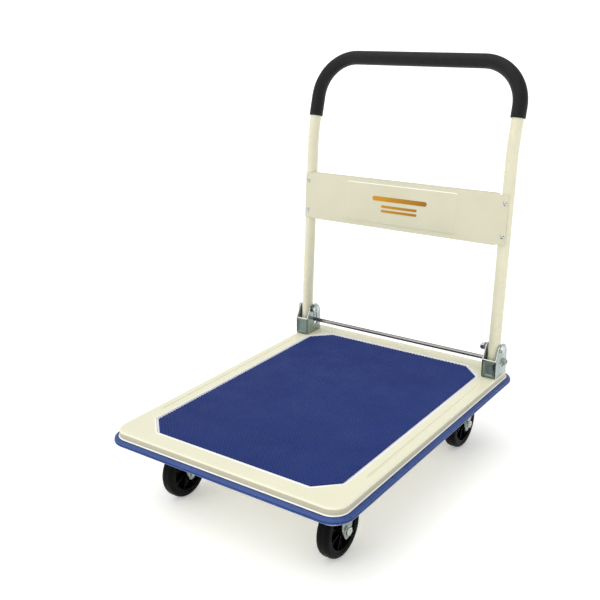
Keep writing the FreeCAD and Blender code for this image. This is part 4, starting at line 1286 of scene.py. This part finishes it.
    def build_screws(self) -> None:
        """Pan heads with a cross recess, over the frame's screws."""
        bm = bmesh.new()
        front = -self.tube_r - self.panel_sheet
        for side in Side:
            for s in (self.panel_low + self.screw_inset, self.panel_low + self.panel_rise - self.screw_inset):
                seat = Vector((side.sign * self.leg_x, front, s))
                matrix = Matrix.Translation(seat) @ Matrix.Rotation(math.pi / 2, 4, "X")
                made = bmesh.ops.create_uvsphere(bm, u_segments=24, v_segments=14, radius=self.screw_r,
                                                 matrix=matrix)["verts"]
                bmesh.ops.scale(bm, verts=made, vec=Vector((1, 0.5, 1)), space=Matrix.Translation(-seat))
                long, narrow = self.screw_cross
                for x, z in ((long, narrow), (narrow, long)):
                    block(bm, Vector((x, 0.3, z)), seat + Vector((0, -self.screw_cross_out, 0)))
        bmesh.ops.transform(bm, matrix=self.upright(), verts=bm.verts)
        make_piece("panel_screw_heads", bm, ZINC_BRIGHT, Body.HANDLE.value, ["panel_screws"],
                   40)

    def build(self) -> None:
        """Make the whole handle."""
        self.build_tube()
        self.build_grip()
        self.build_panel()
        self.build_screws()
        self.dress(INK_ORANGE, "panel_mark")
        self.dress(ZINC, "pivot_bushes")
        self.dress(POLYPROPYLENE, "tube_plugs")


# ---------------------------------------------------------------- hinge brackets and lock
@dataclass
class Bracket(Assembly):
    """U-shaped bracket with a dished web, a curled lip and its hardware."""

    side: Side
    sheet: float = 2.3
    web_height: float = 36.0
    lip_r: float = 1.7
    relief: float = 2.4
    slope_run: float = 14.1
    dish_depth: float = 2.2
    dish_profile: tuple[tuple[float, float, float], ...] = (
        (2.2, 0.0, 4.0), (3.0, 0.35 / 2.2, 3.6), (5.2, 1.7 / 2.2, 3.0), (7.2, 1.0, 2.4))
    ear_corners: tuple[float, ...] = (0.5, 3.0, 13.0, 23.0, 2.0)
    foot_trim: float = 8.0
    slot_half: float = 4.35
    washer_r: float = 7.4
    washer_height: float = 1.0
    head_across: float = 12.6
    head_height: float = 4.6
    head_turn_deg: float = 12.0
    bolt_r: float = 3.95
    bolt_reach: float = 13.0

    @property
    def node(self) -> str:
        """Name of the frame node."""
        return "bracket_" + self.side.value

    def build_sheet(self) -> None:
        """Both ears, with the rod's slot cut through them."""
        bm = bmesh.new()
        low, high = box_mm(self.node)
        y0, y1, z0, z1 = low.y, high.y, low.z, high.z
        places = ((y0, z0), (y0, z0 + self.web_height), (y0 + self.slope_run, z1), (y1, z1), (y1, z0))
        for x in (low.x, high.x - self.sheet):
            corners = [(Vector((x, y, z)), radius) for (y, z), radius in zip(places, self.ear_corners)]
            rounded_plate(bm, corners, X_AXIS * self.sheet, 0.45)
        bm.normal_update()
        # Painted highlight: the rims of the ears take the brighter zinc.
        for face in bm.faces:
            face.material_index = 0 if abs(face.normal.x) > 0.8 else 2
        make_piece(self.node + "_ears", bm, ZINC, Body.DECK.value, [self.node], 36,
                   [ZINC_PAINTED_DARK, ZINC_BRIGHT])
        carve(bpy.data.objects[self.node + "_ears"], self.slot_cutter, 36)

    def build_web(self) -> None:
        """Web with its lip, and the foot behind it."""
        bm = bmesh.new()
        low, high = box_mm(self.node)
        self.add_web(bm, low, high)
        size = Vector((high.x - low.x - 2 * self.sheet, high.y - low.y - self.foot_trim, self.sheet))
        block(bm, size, Vector(((low.x + high.x) / 2, (low.y + high.y) / 2 + 1, low.z + self.sheet / 2)))
        make_piece(self.node + "_web", bm, ZINC, Body.DECK.value, [self.node], 36,
                   [ZINC_PAINTED_DARK, ZINC_BRIGHT])

    def add_web(self, bm: BMesh, low: Vector, high: Vector) -> None:
        """Front web: a frame round a deep dish, with its top edge curled over.

        Args:
            bm: Mesh to add to.
            low: Lowest corner of the bracket.
            high: Highest corner of the bracket.
        """
        x0, x1 = low.x + 0.1, high.x - 0.1
        z0, z1 = low.z + self.relief, low.z + self.web_height
        shell = bmesh.new()
        rim = outline(shell, [Vector(p) for p in ((x0, low.y, z0), (x1, low.y, z0), (x1, low.y, z1),
                                                  (x0, low.y, z1))])
        middle = Vector(((x0 + x1) / 2, low.y, (z0 + z1) / 2))
        nest(shell, rim, [rounded_ring(middle + Y_AXIS * (self.dish_depth * share), (x1 - x0) / 2 - trim,
                                       (z1 - z0) / 2 - trim, radius, 4)
                          for trim, share, radius in self.dish_profile])
        face_towards(shell, Y_AXIS * -1)
        bmesh.ops.solidify(shell, geom=shell.faces[:], thickness=self.sheet)
        # Painted dark reflection: the whole web takes the darker zinc.
        for face in shell.faces:
            face.material_index = 1
        merge(bm, shell)
        y = low.y + self.sheet / 2
        # Painted highlight: the curled lip takes the brighter zinc.
        known = set(bm.faces)
        rod_along(bm, Vector((low.x, y, z1)), Vector((high.x, y, z1)), self.lip_r, 20, 0.8)
        for face in set(bm.faces) - known:
            face.material_index = 2

    def slot_cutter(self, bm: BMesh) -> None:
        """Slanted slot that the rod slides in, through both ears.

        Args:
            bm: Mesh to fill.
        """
        low, high = box_mm(self.node)
        rod = middle_mm("lock_rod")
        joint = self.joint("lock_rod_slide")
        way = Vector(joint["axis"])
        travel = joint["range_m"][1] / MM
        start = Vector((low.x - 1, rod.y, rod.z))
        across = way.cross(X_AXIS).normalized() * self.slot_half
        end = start + way * travel
        corners = [start + across, end + across, end - across, start - across]
        made = bmesh.ops.extrude_face_region(bm, geom=[filled(bm, corners)], use_keep_orig=True)["geom"]
        bmesh.ops.translate(bm, verts=verts_of(made), vec=X_AXIS * (high.x - low.x + 2))
        ends = [e for e in bm.edges if abs((e.verts[0].co - e.verts[1].co).x) > 1]
        soften(bm, ends, self.slot_half * 0.98, 8)

    def build_hardware(self) -> None:
        """Pivot bolt head with its washer, outside the bracket."""
        bm = bmesh.new()
        low, high = box_mm(self.node)
        sign = self.side.sign
        outer, inner = (high.x, low.x) if sign > 0 else (low.x, high.x)
        out = X_AXIS * sign
        seat = Vector((outer, self.pivot.y, self.pivot.z))
        washer(bm, seat + out * 0.02, out, self.washer_r, self.washer_height)
        hex_head(bm, seat + out * self.washer_height, out, self.head_across, self.head_height, 0.0,
                 self.head_turn_deg)
        end = Vector((inner, self.pivot.y, self.pivot.z)) - out * self.bolt_reach
        rod_along(bm, seat - out * 0.5, end, self.bolt_r, 24, 0.6)
        name = "pivot_bolt_" + self.side.value
        make_piece(name, bm, ZINC_BRIGHT, Body.DECK.value, ["pivot_bolts"], 30)

    def build(self) -> None:
        """Make the bracket and its bolt head."""
        self.build_sheet()
        self.build_web()
        self.build_hardware()


@dataclass
class RodSpring(Assembly):
    """Torsion spring that pushes the rod up its slots."""

    side: Side
    wire: float = 0.9
    mean: float = 7.4
    pitch: float = 2.1
    turns: float = 1.25
    leg: float = 15.5
    hook: float = 8.0
    rod_r: float = 4.0
    rod_gap: float = 0.4

    def build(self) -> None:
        """Coil round the pivot bolt, an anchored leg, and a leg that hooks under the rod."""
        bm = bmesh.new()
        sign = self.side.sign
        rod = middle_mm("lock_rod")
        bracket_low, bracket_high = box_mm("bracket_" + self.side.value)
        inner = bracket_low.x if self.side is Side.RIGHT else bracket_high.x
        centre = Vector((inner - sign * (self.wire + 0.3), self.pivot.y, self.pivot.z))
        start = centre + Vector((0, 0, self.mean))
        lift = Vector((-sign * self.pitch * self.turns, 0, 0))
        anchor = start - Y_AXIS * self.leg
        sweep = Sweep.round(bm, anchor, Y_AXIS, self.wire, 12)
        sweep.run(Y_AXIS * self.leg, 2)
        sweep.turn(centre, X_AXIS, -360 * self.turns, int(24 * self.turns), lift)
        end = centre + lift + Vector((0, self.mean, 0))
        below = self.rod_r + self.wire + self.rod_gap
        knee = Vector((end.x, rod.y - below, rod.z - below))
        down = knee - end
        sweep.run(down * 0.98, 4)
        sweep.run(down * 0.02 + Vector((0, 1.2, -0.2)))
        sweep.run(Vector((0, self.hook, 0.6)))
        sweep.cap()
        name = "rod_spring_coil_" + self.side.value
        obj = make_piece(name, bm, SPRING_WIRE, None,
                         ["rod_spring_" + self.side.value], 60)
        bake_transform(obj)


@dataclass
class Lock(Assembly):
    """Cross rod with its end nuts and the pivot nuts, kept as they are."""

    def build(self) -> None:
        """Dress them."""
        self.dress(ROD_STEEL, "lock_rod")
        self.dress(ZINC_BRIGHT, "rod_nuts", "pivot_nuts")


# ---------------------------------------------------------------- casters
@dataclass
class Wheel(Assembly):
    """Rubber tyre on a ribbed core.

    The tyre's bead is (in from the side, up from the rim), its shoulder (in from the side, down from the
    tread), its seam (share of the half width, down from the tread), and the hub's end (in from it, radius).
    """

    code: str
    spokes: int = 8
    rim_r: float = 39.0
    tyre_bead: Profile = ((2.0, -0.5), (0.6, 0.2), (0.0, 1.6), (0.0, 3.2), (0.45, 3.8), (0.1, 4.5))
    tyre_shoulder: Profile = ((0.5, 4.4), (1.6, 2.6), (3.3, 1.3), (5.6, 0.55))
    tyre_seam: Profile = ((0.32, 0.08), (0.3, 0.5))
    hub_end: Profile = ((0.0, 6.3), (0.0, 9.4), (0.7, 10.4), (3.0, 11.0))
    core_web: Profile = ((3.2, 12.2), (2.4, 13.4), (2.0, 16.0), (2.0, 30.5), (2.5, 32.6), (4.0, 34.0),
                         (9.4, 34.9), (10.6, 35.4), (11.0, 36.2), (11.0, 38.4))
    rib_size: tuple[float, float, float] = (17.0, 2.6, 24.0)
    rib_mid: float = 23.0

    @property
    def body(self) -> str:
        """Body the wheel rides on."""
        return "wheel_" + self.code

    def build(self) -> None:
        """Make the tyre and the core."""
        tyre = "tyre_" + self.code
        centre = middle_mm(tyre)
        half, radius = half_mm(tyre).x, half_mm(tyre).z
        bm = bmesh.new()
        right = [(half - back, self.rim_r + up) for back, up in self.tyre_bead]
        right += [(half - back, radius - down) for back, down in self.tyre_shoulder]
        right += [(half * share, radius - down) for share, down in self.tyre_seam]
        self.turn_both(bm, right, centre, 96)
        make_piece(tyre + "_moulded", bm, TYRE_RUBBER, self.body, [tyre], 40)
        self.build_core(centre)

    def turn_both(self, bm: BMesh, right: list[tuple[float, float]], centre: Vector,
                  steps: int) -> None:
        """Turn an (x, radius) section and its mirror image about the axle.

        Args:
            bm: Mesh to add to.
            right: Right half of the section, from the inside out.
            centre: Centre of the wheel.
            steps: Sides of the turned shape.
        """
        section = right + [(-x, r) for x, r in reversed(right)]
        lathe(bm, [centre + Vector((x, 0, r)) for x, r in section], centre, X_AXIS, steps)

    def build_core(self, centre: Vector) -> None:
        """Rim, dished web, hub and radial ribs.

        Args:
            centre: Centre of the wheel.
        """
        core = "wheel_core_" + self.code
        hub_half = half_mm(core).x
        bm = bmesh.new()
        right = [(hub_half - back, r) for back, r in self.hub_end] + [*self.core_web, (10.6, self.rim_r)]
        self.turn_both(bm, right, centre, 72)
        for i in range(self.spokes):
            turn = Matrix.Translation(centre) @ Matrix.Rotation(math.tau * (i + 0.5) / self.spokes, 4, "X")
            rib = block(bm, Vector(self.rib_size), Z_AXIS * self.rib_mid)
            bmesh.ops.transform(bm, matrix=turn, verts=rib)
            soften(bm, {e for v in rib for e in v.link_edges}, 0.45, 2)
        make_piece(core + "_ribbed", bm, POLYPROPYLENE, self.body, [core], 36)
        self.dress(ZINC, "wheel_bush_" + self.code)


@dataclass
class Fork(Assembly):
    """Pressed fork of one caster, with its axle hardware."""

    code: str
    swivel: bool
    sheet: float = 2.5
    gap: float = 14.4
    crown: float = 22.0
    rim: float = 0.4
    lobe: tuple[tuple[float, float, float], ...] = (
        (-13.0, 4.0, 6.0), (-4.0, -15.5, 4.5), (6.0, -15.5, 4.5), (15.0, 2.0, 10.0))
    rear_side: float = 18.0
    front_side: float = 8.0
    kingpin_hole: float = 5.1
    plate_corner: float = 6.0
    across: float = 13.0
    head_height: float = 5.4
    nut_height: float = 5.0
    thread_end: float = 1.2
    washer_r: float = 7.8
    washer_height: float = 1.2
    bolt_r: float = 3.95

    @property
    def node(self) -> str:
        """Name of the frame node."""
        return ("swivel_fork_" if self.swivel else "rigid_fork_") + self.code

    @property
    def body(self) -> str:
        """Body the fork rides on."""
        return "swivel_" + self.code if self.swivel else Body.DECK.value

    def build(self) -> None:
        """Make the fork and its axle hardware."""
        bm = bmesh.new()
        low, high = box_mm(self.node)
        axle = middle_mm("wheel_bush_" + self.code)
        offset = (high.y - self.crown if self.swivel else (low.y + high.y) / 2) - axle.y
        top = high.z - (0.0 if self.swivel else self.sheet)
        rise = top - axle.z
        rear, front = offset + self.crown, offset - self.crown
        corners = [*self.lobe, (rear, rise - self.rear_side, 6.0), (rear, rise, 0.0), (front, rise, 0.0),
                   (front, rise - self.front_side, 4.0)]
        for x in (axle.x - self.gap - self.sheet, axle.x + self.gap):
            points = [(Vector((x, axle.y + y, axle.z + z)), r) for y, z, r in corners]
            rounded_plate(bm, points, X_AXIS * self.sheet, self.rim)
        self.add_head(bm, low, high, axle)
        make_piece(self.node + "_pressed", bm, ZINC, self.body, [self.node], 36)
        self.build_axle(axle)
        if self.swivel:
            self.dress(ZINC, "swivel_plate_" + self.code)
            self.dress(ZINC_BRIGHT, "kingpin_" + self.code, "swivel_balls_" + self.code)

    def add_head(self, bm: BMesh, low: Vector, high: Vector, axle: Vector) -> None:
        """Round crown of a swivel fork, or mounting plate of a rigid one.

        Args:
            bm: Mesh to add to.
            low: Lowest corner of the fork.
            high: Highest corner of the fork.
            axle: Centre of the axle.
        """
        if self.swivel:
            centre = Vector((axle.x, high.y - self.crown, high.z - self.sheet))
            hole, rim, crown, sheet = self.kingpin_hole, self.rim, self.crown, self.sheet
            profile = ((hole, 0.0), (crown - rim, 0.0), (crown, rim), (crown, sheet - rim),
                       (crown - rim, sheet), (hole, sheet))
            lathe(bm, [centre + Vector((r, 0, z)) for r, z in profile], centre, Z_AXIS, 48)
            return
        z = high.z - self.sheet
        corners = [(Vector((x, y, z)), self.plate_corner)
                   for x, y in ((low.x, low.y), (high.x, low.y), (high.x, high.y), (low.x, high.y))]
        rounded_plate(bm, corners, Z_AXIS * self.sheet, self.rim)

    def build_axle(self, axle: Vector) -> None:
        """Axle bolt head on the left, nut and thread end on the right.

        Args:
            axle: Centre of the axle.
        """
        bm = bmesh.new()
        reach = self.gap + self.sheet
        left = Vector((axle.x - reach, axle.y, axle.z))
        right = Vector((axle.x + reach, axle.y, axle.z))
        hex_head(bm, left - X_AXIS * 0.02, X_AXIS * -1, self.across, self.head_height, 0.0, 20)
        washer(bm, right + X_AXIS * 0.02, X_AXIS, self.washer_r, self.washer_height)
        hex_head(bm, right + X_AXIS * (self.washer_height - 0.1), X_AXIS, self.across, self.nut_height,
                 self.thread_end, 8)
        rod_along(bm, left, right, self.bolt_r, 24)
        name = "axle_hardware_" + self.code
        nodes = ["axle_bolts_front", "axle_nuts_front"]
        if self.swivel:
            nodes = ["axle_bolt_" + self.code, "axle_nut_" + self.code]
        make_piece(name, bm, ZINC_BRIGHT, self.body, nodes, 30)


# ---------------------------------------------------------------- studio
@dataclass
class Studio:
    """Pale floor, soft light and the camera."""

    azimuth: float = 37.523
    elevation: float = 18.208
    roll: float = -1.338
    distance: float = 2251.63
    target: tuple[float, float, float] = (-489.635, 412.84, 154.0)
    lens: float = 53.904
    shift: tuple[float, float] = (0.0833, -0.0157)
    surround: float = 0.62
    horizon: tuple[float, float] = (0.02, 0.1)
    horizon_strength: float = 1.3
    lamps: dict[str, tuple[float, float, tuple[float, float, float]]] = field(default_factory=lambda: {
        "overhead": (1.25, 70.0, (0.15, 0.25, -1.0)),
        "front": (0.3, 30.0, (0.45, 0.8, -0.5))})

    def build_floor(self) -> None:
        """Wide plain floor."""
        bm = bmesh.new()
        bmesh.ops.create_grid(bm, x_segments=1, y_segments=1, size=400.0)
        mesh = to_mesh("floor", bm)
        mesh.materials.append(FLOOR_WHITE.build())
        add_object("floor", mesh)

    def build_lights(self) -> None:
        """Even white surroundings and a very wide, soft light from above the front left."""
        world = bpy.data.worlds.new("surround")
        world.use_nodes = True
        back = world.node_tree.nodes["Background"]
        back.inputs["Color"].default_value = (1, 1, 1, 1)
        tree = world.node_tree
        outward = add_node(tree, "ShaderNodeTexCoord").outputs["Generated"]
        rise = add_node(tree, "ShaderNodeSeparateXYZ", links={"Vector": outward}).outputs["Z"]
        ends = (*self.horizon, self.horizon_strength, self.surround)
        share = add_node(tree, "ShaderNodeMapRange", values=between(*ends), links={"Value": rise})
        tree.links.new(share.outputs["Result"], back.inputs["Strength"])
        bpy.context.scene.world = world
        for name, (strength, spread, way) in self.lamps.items():
            data = bpy.data.lights.new(name, "SUN")
            data.energy = strength
            data.angle = math.radians(spread)
            lamp = add_object(name, data)
            lamp.rotation_mode = "QUATERNION"
            lamp.rotation_quaternion = Vector(way).to_track_quat("-Z", "Y")

    def build_camera(self) -> None:
        """Camera at the wanted height, turn, tilt and framing."""
        az, el, roll = (math.radians(a) for a in (self.azimuth, self.elevation, self.roll))
        back = Vector((math.sin(az) * math.cos(el), -math.cos(az) * math.cos(el), math.sin(el)))
        right = Z_AXIS.cross(back).normalized()
        up = back.cross(right)
        x = right * math.cos(roll) + up * math.sin(roll)
        y = up * math.cos(roll) - right * math.sin(roll)
        data = bpy.data.cameras.new("camera")
        data.lens = self.lens
        data.sensor_width = 36
        data.shift_x, data.shift_y = self.shift
        data.clip_start = 0.05
        camera = add_object("camera", data)
        place = (Vector(self.target) + back * self.distance) * MM
        camera.matrix_world = Matrix.Translation(place) @ Matrix((x, y, back)).transposed().to_4x4()
        bpy.context.scene.camera = camera

    def build(self) -> None:
        """Make the studio."""
        self.build_floor()
        self.build_lights()
        self.build_camera()
        settings = bpy.context.scene.view_settings
        settings.view_transform = "Standard"
        settings.look = "None"


def main() -> None:
    """Build every piece round the frame and report each one."""
    logging.basicConfig(level=logging.INFO, format="%(name)s %(message)s")
    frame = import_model()
    Studio().build()
    Deck(frame).build()
    Handle(frame).build()
    for side in Side:
        Bracket(frame, side).build()
        RodSpring(frame, side).build()
    Lock(frame).build()
    for code in ("fl", "fr", "rl", "rr"):
        Wheel(frame, code).build()
        Fork(frame, code, code.startswith("r")).build()


if __name__ == "__main__":
    main()
